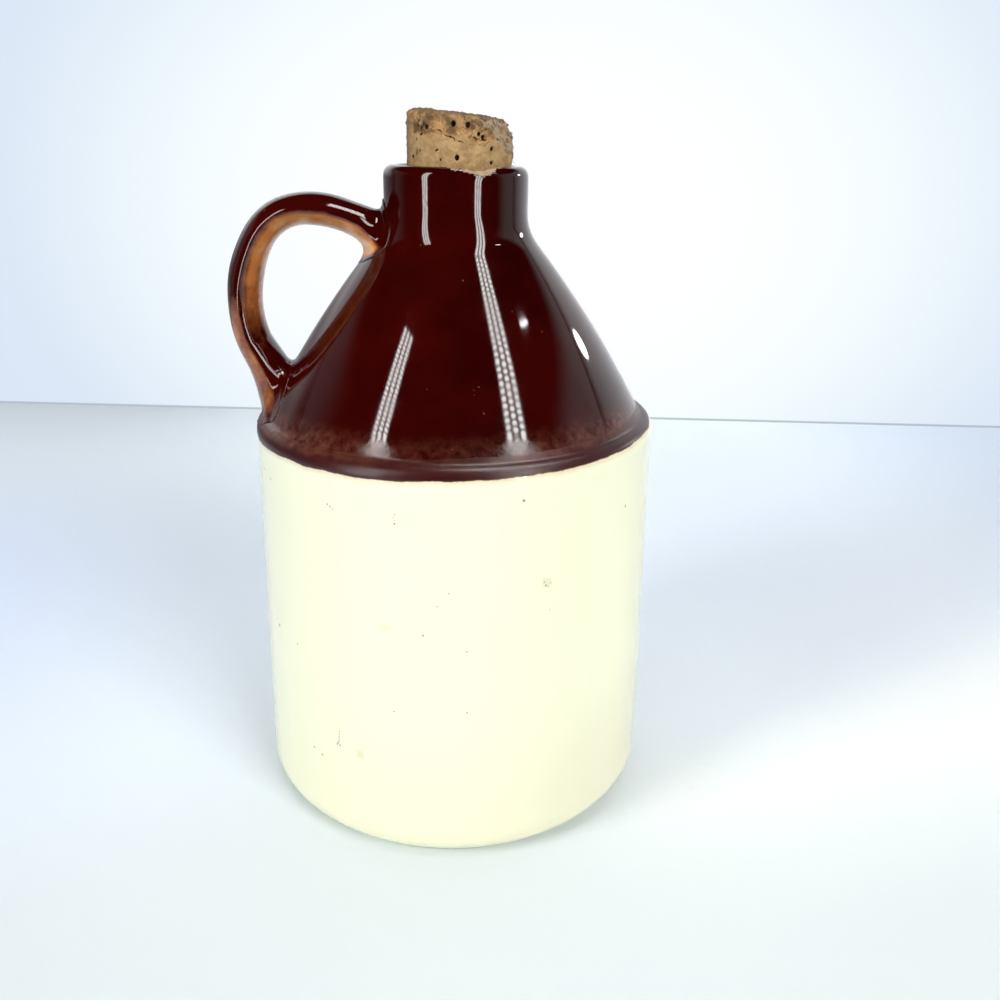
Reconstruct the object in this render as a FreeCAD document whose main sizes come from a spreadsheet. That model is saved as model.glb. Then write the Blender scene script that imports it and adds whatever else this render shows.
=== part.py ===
import FreeCAD, Part
import os
import math
import Sketcher

# Stoneware syrup jug with a worn cork, in millimetres.
# The jug stands on z = 0 with its axis on Z, and its handle points along -X.
# Two pieces: the jug, fired as one piece with its handle, and the cork in its mouth.

V = FreeCAD.Vector

SIZES = {
    # side of the jug, from the floor up to the ledge
    "base_radius": 52.3,        # just above the rounded foot
    "foot_round": 7.7,          # rounding between side and underside
    "shoulder_radius": 50.8,    # at the ledge
    "side_height": 99.3,        # top of the straight side
    # ledge, cone and neck, each height measured from the one below
    "ledge_round": 3.2,         # rounded step that carries the cone
    "cone_height": 44.4,        # from the ledge to where cone and neck would meet
    "cone_bulge": 254.0,        # radius of the cone's slightly full outline
    "neck_blend": 12.0,         # hollow curve between cone and neck
    "neck_height": 14.9,        # from the cone's end to the rim
    "neck_radius": 17.45,
    "lip_round": 2.4,           # rounding of the lip, outside and inside
    # mouth
    "mouth_depth": 17.8,        # from the rim down to the cork's seat
    "mouth_taper": 4.0,         # degrees each side
    # chip in the front of the lip
    "chip_left": 7.15,          # along the lip, from its deepest point
    "chip_right": 3.85,
    "chip_depth": 2.6,
    "chip_turn": 26.0,          # degrees from the front towards +X
    "chip_slope": 25.0,         # degrees that the broken face falls outwards
    # handle: centre line and oval section
    "handle_rise": 49.0,        # highest point of the centre line above the ledge
    "handle_overhang": 1.65,    # centre line beyond the shoulder where it stands out most
    "handle_crest_in": 16.95,   # highest point inside the widest one
    "handle_crest_radius": 26.4,
    "handle_bend_radius": 14.8,
    "handle_back_radius": 30.8,
    "root_slope": 19.0,         # degrees below level where it enters the neck
    "foot_slope": 24.0,         # degrees off upright where it comes down to the ledge
    "strap_width": 14.8,
    "strap_thickness": 7.6,
    "foot_width": 17.0,
    "foot_thickness": 12.2,
    "root_fillet": 2.5,
    "foot_fillet": 1.4,
    # cork
    "cork_clearance": 0.1,      # between plug and mouth
    "cork_stand": 11.4,         # above the rim, along its leaning middle line
    "cork_flare": 0.65,         # its top is wider than the mouth by this much all round
    "cork_taper": 7.0,          # degrees each side, above the mouth
    "cork_lean": 5.5,           # degrees that it leans to +X
    "cork_root": 6.9,           # how far below the rim the leaning part starts
    "cork_bevel": 1.3,
    "break_inset": 5.3,         # broken corner: starts this far inside the top's edge
    "break_upper_run": 3.8,     # its upper, flatter face runs out this far
    "break_upper_drop": 4.6,    # and falls this far
    "break_foot_out": 1.45,     # its steeper face ends this far outside the mouth
    "break_foot_rise": 1.0,     # and this far above the rim
    "break_turn": 16.0,         # degrees that the broken corner faces the front
}

# Bounds used when edges are picked and cuts are checked
ON_SURFACE = 0.01           # mm, an edge this near the turned surface lies on it
IN_CREASE = 0.2             # mm, from the height of the crease above the ledge
LEAST_CHIP = 1.0            # mm3
MOST_CHIP = 200.0
LEAST_BREAK = 10.0

# Places worked out from the sizes, as formulas of the sheet
LEDGE_TOP = "(Sizes.side_height + Sizes.ledge_round)"
NECK_FOOT = "(%s + Sizes.cone_height)" % LEDGE_TOP
RIM = "(%s + Sizes.neck_height)" % NECK_FOOT
SEAT = "(%s - Sizes.mouth_depth)" % RIM
REACH = "(Sizes.shoulder_radius + Sizes.handle_overhang)"
CREST_OUT = "(%s - Sizes.handle_crest_in)" % REACH
CREST = "(%s + Sizes.handle_rise)" % LEDGE_TOP
ROOT_OUT = "(Sizes.neck_radius - Sizes.lip_round)"
CORK_HEIGHT = "(Sizes.cork_root + Sizes.cork_stand)"
CORK_TOP = "(%s + Sizes.cork_stand)" % RIM
MOUTH_RADIUS = "(JugOutline.Constraints.mouth_radius / 1 mm)"
MOUTH_HEIGHT = "(JugOutline.Constraints.mouth_height / 1 mm)"
SEAT_RADIUS = "(JugOutline.Constraints.seat_radius / 1 mm)"
CORK_RADIUS = "(%s + Sizes.cork_flare)" % MOUTH_RADIUS


def make_sheet(doc):
    """Every driving size is one cell with its name as alias."""
    sheet = doc.addObject("Spreadsheet::Sheet", "Sizes")
    for row, (name, value) in enumerate(SIZES.items(), start=1):
        sheet.set("A%d" % row, name)
        sheet.set("B%d" % row, str(value))
        sheet.setAlias("B%d" % row, name)
    doc.recompute()
    return sheet


def new_body(doc, name):
    body = doc.addObject("PartDesign::Body", name)
    body.Label = name
    return body


def plane(body, role):
    for feature in body.Origin.OriginFeatures:
        if feature.Role == role:
            return feature
    raise RuntimeError("no origin plane " + role)


def new_sketch(body, name, role, offset=None):
    """A sketch on one of the body's own origin planes, moved by an expression if given."""
    sketch = body.newObject("Sketcher::SketchObject", name)
    sketch.AttachmentSupport = [(plane(body, role), "")]
    sketch.MapMode = "FlatFace"
    if offset:
        sketch.setExpression("AttachmentOffset", offset)
    return sketch


def placed(x, y, z, turn="0", tilt="0"):
    """Expression of a placement: turn is about the plane's Y axis, tilt about its X axis."""
    move = "create(<<vector>>; %s; %s; %s)" % (x, y, z)
    rotation = "create(<<rotation>>; 0; %s; %s)" % (turn, tilt)
    return "create(<<placement>>; %s; %s)" % (move, rotation)


def number(item, formula):
    """Present value of a formula of the sheet's sizes."""
    value = item.evalExpression(formula)
    return float(getattr(value, "Value", value))


def bind(sketch, name, formula, kind, *where):
    """A named dimension driven by a formula of the sheet's sizes; angles are in degrees."""
    value = number(sketch, formula)
    if kind == "Angle":
        value = math.radians(value)
        formula = "(%s) * 1 deg" % formula
    index = sketch.addConstraint(Sketcher.Constraint(kind, *where, value))
    sketch.renameConstraint(index, name)
    sketch.setExpression("Constraints." + name, formula)


def measure(sketch, name, kind, *where):
    """A named reference dimension, which other features read."""
    index = sketch.addConstraint(Sketcher.Constraint(kind, *where, 1.0))
    sketch.setDriving(index, False)
    sketch.renameConstraint(index, name)


def relate(sketch, kind, *where):
    sketch.addConstraint(Sketcher.Constraint(kind, *where))


def line(x0, y0, x1, y1):
    return Part.LineSegment(V(x0, y0, 0), V(x1, y1, 0))


def arc(cx, cy, radius, start, end):
    """Arc drawn counter-clockwise between two angles in degrees."""
    circle = Part.Circle(V(cx, cy, 0), V(0, 0, 1), radius)
    return Part.ArcOfCircle(circle, math.radians(start), math.radians(end))


def chain(sketch, joints):
    """Join edges end to end: (kind, edge, its point, next edge, its point)."""
    for joint in joints:
        relate(sketch, *joint)


def turn_about_axis(body, name, sketch):
    turned = body.newObject("PartDesign::Revolution", name)
    turned.Profile = sketch
    turned.ReferenceAxis = (sketch, ["V_Axis"])
    turned.Angle = 360
    body.Document.recompute()
    return turned


def outline(body, name, corners, offset=None):
    """Closed sketch of straight lines through the corners, in order."""
    sketch = new_sketch(body, name, "XZ_Plane", offset)
    count = len(corners)
    for index, (x, y) in enumerate(corners):
        after = corners[(index + 1) % count]
        sketch.addGeometry(line(x, y, *after), False)
    for index in range(count):
        relate(sketch, "Coincident", index, 2, (index + 1) % count, 1)
    return sketch


def jug_outline(body):
    """Half outline of the jug in the XZ plane: x is the radius, y the height."""
    size = SIZES
    base = size["base_radius"]
    foot = size["foot_round"]
    shoulder = size["shoulder_radius"]
    side = size["side_height"]
    ledge = size["ledge_round"]
    neck = size["neck_radius"]
    lip = size["lip_round"]
    rim = number(body, RIM)
    floor = number(body, SEAT)
    cone_start = V(shoulder - ledge, side + ledge, 0)
    cone_end = V(neck, number(body, NECK_FOOT), 0)
    chord = cone_end - cone_start
    turn = math.degrees(math.atan2(-chord.x, chord.y))
    blend_rise = size["neck_blend"] * math.tan(math.radians(turn / 2))
    mouth = neck - 2 * lip
    seat_radius = mouth - (rim - lip - floor) * math.tan(math.radians(size["mouth_taper"]))
    outwards = V(chord.y, -chord.x, 0).normalize()
    swell = size["cone_bulge"] - math.sqrt(size["cone_bulge"] ** 2 - chord.Length ** 2 / 4)
    cone_middle = (cone_start + cone_end) * 0.5 + outwards * swell
    sketch = new_sketch(body, "JugOutline", "XZ_Plane")
    underside, foot_arc, side_line, ledge_arc, cone, blend, wall = range(7)
    lip_out, lip_in, bore, seat, axis, corner = range(7, 13)
    cone_arc = Part.Arc(cone_start, cone_middle, cone_end)
    shapes = [
        line(0, 0, base - foot, 0),
        arc(base - foot, foot, foot, -90, 0),
        line(base, foot, shoulder, side),
        arc(shoulder - ledge, side, ledge, 0, 90),
        cone_arc,
        arc(neck + size["neck_blend"], cone_end.y + blend_rise, size["neck_blend"],
            180, 180 + turn),
        line(neck, cone_end.y + blend_rise, neck, rim - lip),
        arc(neck - lip, rim - lip, lip, 0, 90),
        arc(neck - lip, rim - lip, lip, 90, 180),
        line(mouth, rim - lip, seat_radius, floor),
        line(seat_radius, floor, 0, floor),
        line(0, floor, 0, 0),
    ]
    sketch.addGeometry(shapes, False)
    sketch.addGeometry(Part.Point(cone_end), True)
    chain(sketch, [
        ("Tangent", underside, 2, foot_arc, 1),
        ("Tangent", foot_arc, 2, side_line, 1),
        ("Tangent", side_line, 2, ledge_arc, 1),
        ("Coincident", ledge_arc, 2, cone, 1),
        ("Tangent", cone, 2, blend, 2),
        ("Tangent", blend, 1, wall, 1),
        ("Tangent", wall, 2, lip_out, 1),
        ("Tangent", lip_out, 2, lip_in, 1),
        ("Tangent", lip_in, 2, bore, 1),
        ("Coincident", bore, 2, seat, 1),
        ("Coincident", seat, 2, axis, 1),
        ("Coincident", axis, 2, underside, 1),
        ("Coincident", underside, 1, -1, 1),
    ])
    relate(sketch, "Horizontal", underside)
    relate(sketch, "Horizontal", seat)
    relate(sketch, "Vertical", axis)
    relate(sketch, "Vertical", wall)
    relate(sketch, "Vertical", ledge_arc, 2, ledge_arc, 3)
    relate(sketch, "Vertical", lip_out, 2, lip_out, 3)
    relate(sketch, "PointOnObject", corner, 1, cone)
    bind(sketch, "base_radius", "Sizes.base_radius", "DistanceX", -1, 1, side_line, 1)
    bind(sketch, "foot_round", "Sizes.foot_round", "Radius", foot_arc)
    bind(sketch, "shoulder_radius", "Sizes.shoulder_radius", "DistanceX", -1, 1, side_line, 2)
    bind(sketch, "side_height", "Sizes.side_height", "DistanceY", -1, 1, side_line, 2)
    bind(sketch, "ledge_round", "Sizes.ledge_round", "Radius", ledge_arc)
    bind(sketch, "cone_bulge", "Sizes.cone_bulge", "Radius", cone)
    bind(sketch, "corner_radius", "Sizes.neck_radius", "DistanceX", -1, 1, corner, 1)
    bind(sketch, "corner_height", NECK_FOOT, "DistanceY", -1, 1, corner, 1)
    bind(sketch, "neck_blend", "Sizes.neck_blend", "Radius", blend)
    bind(sketch, "neck_radius", "Sizes.neck_radius", "DistanceX", -1, 1, wall, 2)
    bind(sketch, "lip_outside", "Sizes.lip_round", "Radius", lip_out)
    bind(sketch, "lip_inside", "Sizes.lip_round", "Radius", lip_in)
    bind(sketch, "rim_height", RIM, "DistanceY", -1, 1, lip_out, 2)
    bind(sketch, "seat_height", SEAT, "DistanceY", -1, 1, seat, 2)
    bind(sketch, "mouth_taper", "-90 - Sizes.mouth_taper", "Angle", bore)
    measure(sketch, "mouth_radius", "DistanceX", -1, 1, bore, 1)
    measure(sketch, "mouth_height", "DistanceY", -1, 1, bore, 1)
    measure(sketch, "seat_radius", "DistanceX", -1, 1, bore, 2)
    return sketch


def handle_path(body):
    """Centre line of the handle in the XZ plane, from inside the neck wall to inside the ledge."""
    size = SIZES
    crest = V(-number(body, CREST_OUT), number(body, CREST), 0)
    first = size["handle_crest_radius"]
    second = size["handle_bend_radius"]
    third = size["handle_back_radius"]
    root_x = -number(body, ROOT_OUT)
    foot_y = size["side_height"]
    root = size["root_slope"]
    foot = size["foot_slope"]
    first_centre = crest - V(0, first, 0)
    second_centre = crest - V(0, second, 0)
    third_x = third - number(body, REACH)
    across = third_x - second_centre.x
    third_centre = V(third_x, second_centre.y - math.sqrt((third - second) ** 2 - across ** 2), 0)
    turn = math.degrees(math.atan2(second_centre.y - third_centre.y, -across))
    start = first_centre + V(math.sin(math.radians(root)), math.cos(math.radians(root)), 0) * first
    end = third_centre - V(math.cos(math.radians(foot)), math.sin(math.radians(foot)), 0) * third
    root_drop = (root_x - start.x) * math.tan(math.radians(root))
    foot_run = (end.y - foot_y) * math.tan(math.radians(foot))
    sketch = new_sketch(body, "HandlePath", "XZ_Plane")
    root_line, crest_arc, bend_arc, back_arc, foot_line = range(5)
    sketch.addGeometry([
        line(root_x, start.y - root_drop, start.x, start.y),
        arc(first_centre.x, first_centre.y, first, 90 - root, 90),
        arc(second_centre.x, second_centre.y, second, 90, turn),
        arc(third_centre.x, third_centre.y, third, turn, 180 + foot),
        line(end.x, end.y, end.x + foot_run, foot_y),
    ], False)
    chain(sketch, [
        ("Tangent", root_line, 2, crest_arc, 1),
        ("Tangent", crest_arc, 2, bend_arc, 1),
        ("Tangent", bend_arc, 2, back_arc, 1),
        ("Tangent", back_arc, 2, foot_line, 1),
    ])
    relate(sketch, "Vertical", crest_arc, 2, crest_arc, 3)
    bind(sketch, "crest_out", CREST_OUT, "DistanceX", crest_arc, 2, -1, 1)
    bind(sketch, "crest_height", CREST, "DistanceY", -1, 1, crest_arc, 2)
    bind(sketch, "crest_radius", "Sizes.handle_crest_radius", "Radius", crest_arc)
    bind(sketch, "bend_radius", "Sizes.handle_bend_radius", "Radius", bend_arc)
    bind(sketch, "back_radius", "Sizes.handle_back_radius", "Radius", back_arc)
    bind(sketch, "reach", REACH + " - Sizes.handle_back_radius", "DistanceX", back_arc, 3, -1, 1)
    bind(sketch, "root_slope", "180 - Sizes.root_slope", "Angle", root_line)
    bind(sketch, "foot_slope", "Sizes.foot_slope - 90", "Angle", foot_line)
    bind(sketch, "root_out", ROOT_OUT, "DistanceX", root_line, 1, -1, 1)
    bind(sketch, "foot_height", "Sizes.side_height", "DistanceY", -1, 1, foot_line, 2)
    measure(sketch, "root_height", "DistanceY", -1, 1, root_line, 1)
    measure(sketch, "knee_out", "DistanceX", back_arc, 2, -1, 1)
    measure(sketch, "knee_height", "DistanceY", -1, 1, back_arc, 2)
    measure(sketch, "foot_out", "DistanceX", foot_line, 2, -1, 1)
    return sketch


def oval(body, name, offset, width, thickness):
    """Oval section of the strap: its width lies along the jug's Y."""
    sketch = new_sketch(body, name, "XY_Plane", offset)
    across = SIZES[width] / 2
    through = SIZES[thickness] / 2
    ellipse = sketch.addGeometry(Part.Ellipse(V(0, across, 0), V(through, 0, 0), V(0, 0, 0)), False)
    sketch.exposeInternalGeometry(ellipse)
    major = ellipse + 1
    minor = ellipse + 2
    relate(sketch, "Coincident", ellipse, 3, -1, 1)
    relate(sketch, "Vertical", major)
    bind(sketch, "width", "Sizes." + width, "Distance", major)
    bind(sketch, "thickness", "Sizes." + thickness, "Distance", minor)
    return sketch


def add_handle(body):
    """The strap keeps its section along the whole centre line; a flare thickens its foot."""
    path = handle_path(body)
    body.Document.recompute()
    root = oval(body, "StrapRoot",
                placed("-" + ROOT_OUT, "0",
                       "HandlePath.Constraints.root_height", "Sizes.root_slope - 90"),
                "strap_width", "strap_thickness")
    knee = oval(body, "StrapKnee",
                placed("-HandlePath.Constraints.knee_out", "0",
                       "HandlePath.Constraints.knee_height", "180 - Sizes.foot_slope"),
                "strap_width", "strap_thickness")
    foot = oval(body, "StrapFoot",
                placed("-HandlePath.Constraints.foot_out", "0",
                       "Sizes.side_height", "180 - Sizes.foot_slope"),
                "foot_width", "foot_thickness")
    strap = body.newObject("PartDesign::AdditivePipe", "Strap")
    strap.Profile = root
    strap.Spine = (path, ["Edge%d" % index for index in range(1, path.GeometryCount + 1)])
    flare = body.newObject("PartDesign::AdditiveLoft", "StrapFlare")
    flare.Profile = knee
    flare.Sections = [(foot, [""])]
    flare.Ruled = True
    body.Document.recompute()


def edges_where(shape, test):
    """Names of the edges whose middle point passes the test."""
    found = []
    for index, edge in enumerate(shape.Edges, start=1):
        middle = edge.valueAt((edge.FirstParameter + edge.LastParameter) / 2)
        if test(edge, middle):
            found.append("Edge%d" % index)
    return found


def chip_outline(body):
    """Lopsided V cut down from the rim; local x runs along the lip, local y is up."""
    out = "(Sizes.neck_radius + Sizes.lip_round)"
    sketch = new_sketch(body, "ChipOutline", "XZ_Plane", placed(
        out + " * sin(Sizes.chip_turn * 1 deg)", RIM,
        out + " * cos(Sizes.chip_turn * 1 deg)", "Sizes.chip_turn", "Sizes.chip_slope"))
    depth = SIZES["chip_depth"]
    left_reach = SIZES["chip_left"]
    right_reach = SIZES["chip_right"]
    left, right, top, mark_left, mark_right = range(5)
    sketch.addGeometry([
        line(-2 * left_reach, depth, 0, -depth),
        line(0, -depth, 2 * right_reach, depth),
        line(2 * right_reach, depth, -2 * left_reach, depth),
    ], False)
    sketch.addGeometry([
        Part.Point(V(-left_reach, 0, 0)),
        Part.Point(V(right_reach, 0, 0)),
    ], True)
    chain(sketch, [
        ("Coincident", left, 2, right, 1),
        ("Coincident", right, 2, top, 1),
        ("Coincident", top, 2, left, 1),
        ("PointOnObject", left, 2, -2),
        ("PointOnObject", mark_left, 1, -1),
        ("PointOnObject", mark_right, 1, -1),
        ("PointOnObject", mark_left, 1, left),
        ("PointOnObject", mark_right, 1, right),
    ])
    relate(sketch, "Horizontal", top)
    bind(sketch, "depth", "Sizes.chip_depth", "DistanceY", left, 2, -1, 1)
    bind(sketch, "above", "Sizes.chip_depth", "DistanceY", -1, 1, top, 1)
    bind(sketch, "left_reach", "Sizes.chip_left", "DistanceX", mark_left, 1, -1, 1)
    bind(sketch, "right_reach", "Sizes.chip_right", "DistanceX", -1, 1, mark_right, 1)
    return sketch


def make_jug(doc):
    body = new_body(doc, "jug")
    turned = turn_about_axis(body, "Turned", jug_outline(body))
    surface = Part.Shell(turned.Shape.Faces)
    add_handle(body)
    middle_height = (number(body, LEDGE_TOP) + number(body, CREST)) / 2
    ledge_top = number(body, LEDGE_TOP)

    def joins_handle(edge, middle):
        return (edge.Curve.TypeId == "Part::GeomBSplineCurve"
                and surface.distToShape(Part.Vertex(middle))[0] < ON_SURFACE)

    def at_root(edge, middle):
        return joins_handle(edge, middle) and middle.z > middle_height

    def at_foot(edge, middle):
        circle = edge.Curve.TypeId == "Part::GeomCircle"
        in_crease = circle and abs(middle.z - ledge_top) < IN_CREASE
        return in_crease or (joins_handle(edge, middle) and middle.z < middle_height)

    for name, test in (("root_fillet", at_root), ("foot_fillet", at_foot)):
        base = body.Tip
        fillet = body.newObject("PartDesign::Fillet", name)
        fillet.Base = (base, edges_where(base.Shape, test))
        fillet.setExpression("Radius", "Sizes." + name)
        doc.recompute()
    before = body.Shape.Volume
    chip = body.newObject("PartDesign::Pocket", "Chip")
    chip.Profile = chip_outline(body)
    chip.setExpression("Length", "Sizes.neck_radius")
    doc.recompute()
    if not LEAST_CHIP < before - body.Shape.Volume < MOST_CHIP:
        raise RuntimeError("the chip does not cut the lip")
    return body


def plug_outline(body):
    """Half outline of the plug, which fills the tapered mouth down to its seat."""
    floor = number(body, SEAT)
    mouth = number(body, MOUTH_HEIGHT)
    wide = number(body, MOUTH_RADIUS)
    narrow = number(body, SEAT_RADIUS)
    sketch = outline(body, "PlugOutline", [(0, floor), (narrow, floor), (wide, mouth), (0, mouth)])
    seat, side, top, axis = range(4)
    relate(sketch, "Horizontal", seat)
    relate(sketch, "Horizontal", top)
    relate(sketch, "PointOnObject", axis, 1, -2)
    relate(sketch, "PointOnObject", axis, 2, -2)
    gap = " - Sizes.cork_clearance"
    bind(sketch, "seat_height", SEAT, "DistanceY", -1, 1, seat, 1)
    bind(sketch, "seat_radius", SEAT_RADIUS + gap, "DistanceX", -1, 1, side, 1)
    bind(sketch, "mouth_radius", MOUTH_RADIUS + gap, "DistanceX", -1, 1, side, 2)
    bind(sketch, "mouth_height", MOUTH_HEIGHT, "DistanceY", -1, 1, side, 2)
    return sketch


def crown_outline(body):
    """Half outline of the leaning part; local y runs along its middle line."""
    radius = number(body, CORK_RADIUS)
    bevel = SIZES["cork_bevel"]
    height = number(body, CORK_HEIGHT)
    narrow = radius - (height - bevel) * math.tan(math.radians(SIZES["cork_taper"]))
    start = "create(<<vector>>; 0; %s - Sizes.cork_root; 0)" % RIM
    lean = "create(<<rotation>>; -Sizes.cork_lean; 0; 0)"
    sketch = outline(body, "CrownOutline", [
        (0, 0), (narrow, 0), (radius, height - bevel), (radius - bevel, height), (0, height),
    ], "create(<<placement>>; %s; %s)" % (start, lean))
    under, side, edge, top, axis = range(5)
    relate(sketch, "Coincident", under, 1, -1, 1)
    relate(sketch, "Horizontal", under)
    relate(sketch, "Horizontal", top)
    relate(sketch, "Vertical", axis)
    bind(sketch, "top_radius", CORK_RADIUS, "DistanceX", -1, 1, side, 2)
    bind(sketch, "taper", "90 - Sizes.cork_taper", "Angle", side)
    bind(sketch, "height", CORK_HEIGHT, "DistanceY", -1, 1, top, 2)
    bind(sketch, "bevel_in", "Sizes.cork_bevel", "DistanceX", edge, 2, edge, 1)
    bind(sketch, "bevel_down", "Sizes.cork_bevel", "DistanceY", edge, 1, edge, 2)
    return sketch


def break_outline(body):
    """Broken corner of the cork, seen from the side: everything outside two sloping faces."""
    start_out = CORK_RADIUS + " - Sizes.break_inset"
    foot_out = MOUTH_RADIUS + " + Sizes.break_foot_out"
    foot_height = RIM + " + Sizes.break_foot_rise"
    out = number(body, start_out)
    top = number(body, CORK_TOP)
    radius = number(body, CORK_RADIUS)
    knee = (out + SIZES["break_upper_run"], top - SIZES["break_upper_drop"])
    foot = (number(body, foot_out), number(body, foot_height))
    far = foot[0] + radius
    high = top + radius
    sketch = outline(body, "BreakOutline", [
        (out, top), knee, foot, (far, foot[1]), (far, high), (out, high),
    ], placed("0", "0", "0", "-Sizes.break_turn"))
    upper, lower, under, side, over, start = range(6)
    relate(sketch, "Horizontal", under)
    relate(sketch, "Vertical", side)
    relate(sketch, "Horizontal", over)
    relate(sketch, "Vertical", start)
    bind(sketch, "out", start_out, "DistanceX", -1, 1, upper, 1)
    bind(sketch, "top", CORK_TOP, "DistanceY", -1, 1, upper, 1)
    bind(sketch, "run", "Sizes.break_upper_run", "DistanceX", upper, 1, upper, 2)
    bind(sketch, "drop", "Sizes.break_upper_drop", "DistanceY", upper, 2, upper, 1)
    bind(sketch, "foot_out", foot_out, "DistanceX", -1, 1, lower, 2)
    bind(sketch, "foot_height", foot_height, "DistanceY", -1, 1, lower, 2)
    bind(sketch, "far", CORK_RADIUS, "DistanceX", under, 1, under, 2)
    bind(sketch, "high", CORK_RADIUS, "DistanceY", start, 2, start, 1)
    return sketch


def make_cork(doc):
    """A plug squeezed to the mouth, and above it the cork as it was cut, leaning and torn."""
    body = new_body(doc, "cork")
    turn_about_axis(body, "Plug", plug_outline(body))
    turn_about_axis(body, "Crown", crown_outline(body))
    before = body.Shape.Volume
    torn = body.newObject("PartDesign::Pocket", "BrokenCorner")
    torn.Profile = break_outline(body)
    torn.SideType = "Symmetric"
    torn.setExpression("Length", CORK_RADIUS + " * 4")
    doc.recompute()
    if body.Shape.Volume > before - LEAST_BREAK:
        raise RuntimeError("the broken corner is not cut from the cork")
    return body


def check(doc, bodies):
    """Stop before writing if anything in the document failed."""
    for item in doc.Objects:
        if "Invalid" in item.State or "Error" in item.State:
            raise RuntimeError("failed: " + item.Name)
        if item.TypeId == "Sketcher::SketchObject" and not item.FullyConstrained:
            raise RuntimeError("loose sketch: " + item.Name)
    for body in bodies:
        shape = body.Shape
        if shape.isNull() or not shape.isValid() or len(shape.Solids) != 1:
            raise RuntimeError("not one sound solid: " + body.Label)


def main():
    doc = FreeCAD.newDocument("SyrupJug")
    make_sheet(doc)
    bodies = [make_jug(doc), make_cork(doc)]
    check(doc, bodies)
    os.makedirs("parts", exist_ok=True)
    for body in bodies:
        body.Shape.exportStep("parts/%s.step" % body.Label)
        print("%s: %.1f cm3" % (body.Label, body.Shape.Volume / 1000))


main()
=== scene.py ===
"""A small stoneware syrup jug with a worn cork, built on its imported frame.

The jug stands on z = 0 with its axis on Z; its handle points along -X and its front along -Y.
"""

import math
from types import SimpleNamespace

import bpy
import numpy as np
from mathutils import Matrix, Vector


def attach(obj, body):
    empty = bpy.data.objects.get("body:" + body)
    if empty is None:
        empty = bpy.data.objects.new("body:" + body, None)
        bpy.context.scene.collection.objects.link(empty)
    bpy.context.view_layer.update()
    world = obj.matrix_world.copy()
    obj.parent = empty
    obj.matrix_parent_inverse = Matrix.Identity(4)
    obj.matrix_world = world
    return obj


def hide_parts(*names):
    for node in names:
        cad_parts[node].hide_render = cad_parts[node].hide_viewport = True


bl_info = {
    "name": "Stoneware Syrup Jug",
    "version": (1, 0, 0),
    "blender": (4, 5, 0),
    "location": "3D View > Sidebar > Jug",
    "description": "Builds a two-tone glazed jug, its cork and a pale table",
    "category": "Add Mesh",
}

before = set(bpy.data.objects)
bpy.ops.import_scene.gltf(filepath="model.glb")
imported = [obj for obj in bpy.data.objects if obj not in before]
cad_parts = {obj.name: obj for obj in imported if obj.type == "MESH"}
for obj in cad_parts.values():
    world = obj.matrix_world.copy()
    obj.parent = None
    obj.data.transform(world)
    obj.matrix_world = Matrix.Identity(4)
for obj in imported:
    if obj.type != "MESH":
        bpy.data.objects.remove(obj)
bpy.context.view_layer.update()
MM = 0.001


# ---------------------------------------------------------------- settings

def length(name, description, default):
    """A length, given in millimetres."""
    return bpy.props.FloatProperty(name=name, description=description, default=default * MM,
                                   unit="LENGTH", subtype="DISTANCE", precision=5)


def angle(name, description, default):
    """An angle, given in degrees."""
    return bpy.props.FloatProperty(name=name, description=description,
                                   default=math.radians(default), subtype="ANGLE")


def amount(name, description, default):
    """A plain number."""
    return bpy.props.FloatProperty(name=name, description=description, default=default,
                                   min=0.0, max=100.0)


def colour(name, description, *default):
    """A colour, given as red, green and blue."""
    return bpy.props.FloatVectorProperty(name=name, description=description, default=default,
                                         subtype="COLOR", size=3, min=0.0, max=1.0)


class JugSizes(bpy.types.PropertyGroup):
    """Turned jug and the edge of its dark glaze"""

    base_radius: length("Base radius", "Side, just above the rounded foot", 52.3)
    foot_round: length("Foot rounding", "Between side and underside", 7.7)
    shoulder_radius: length("Shoulder radius", "Side, at the ledge", 50.8)
    side_height: length("Side height", "Top of the straight side", 99.3)
    ledge_round: length("Ledge rounding", "Step that carries the cone", 3.2)
    cone_height: length("Cone height", "From the ledge to the foot of the neck", 44.4)
    cone_bulge: length("Cone bulge", "Radius of the cone's slightly full outline", 254.0)
    neck_blend: length("Neck blend", "Hollow curve between cone and neck", 12.0)
    neck_height: length("Neck height", "From the cone's end to the rim", 14.9)
    neck_radius: length("Neck radius", "Outside of the neck", 17.45)
    lip_round: length("Lip rounding", "Outside and inside of the lip", 2.4)
    mouth_depth: length("Mouth depth", "From the rim to the cork's seat", 17.8)
    mouth_taper: angle("Mouth taper", "Each side", 4.0)
    wobble: length("Wobble", "How far the thrown surface strays", 0.06)
    glaze_step: length("Glaze step", "The dark glaze stands this far above the pale one", 0.11)
    line_height: length("Glaze line", "Height of the dark glaze's edge", 99.75)
    line_rise: amount("Glaze line rise", "How much the edge climbs per unit towards +X", 0.029)


class ChipSizes(bpy.types.PropertyGroup):
    """Chip in the lip"""

    turn: angle("Turn", "From the front towards +X", 18.5)
    left: length("Left reach", "Along the lip from the deepest point", 6.4)
    right: length("Right reach", "Along the lip from the deepest point", 5.6)
    depth: length("Depth", "Below the rim at the outside of the lip", 1.75)
    inner_depth: length("Inner depth", "Below the rim at the mouth", 1.15)


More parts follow.
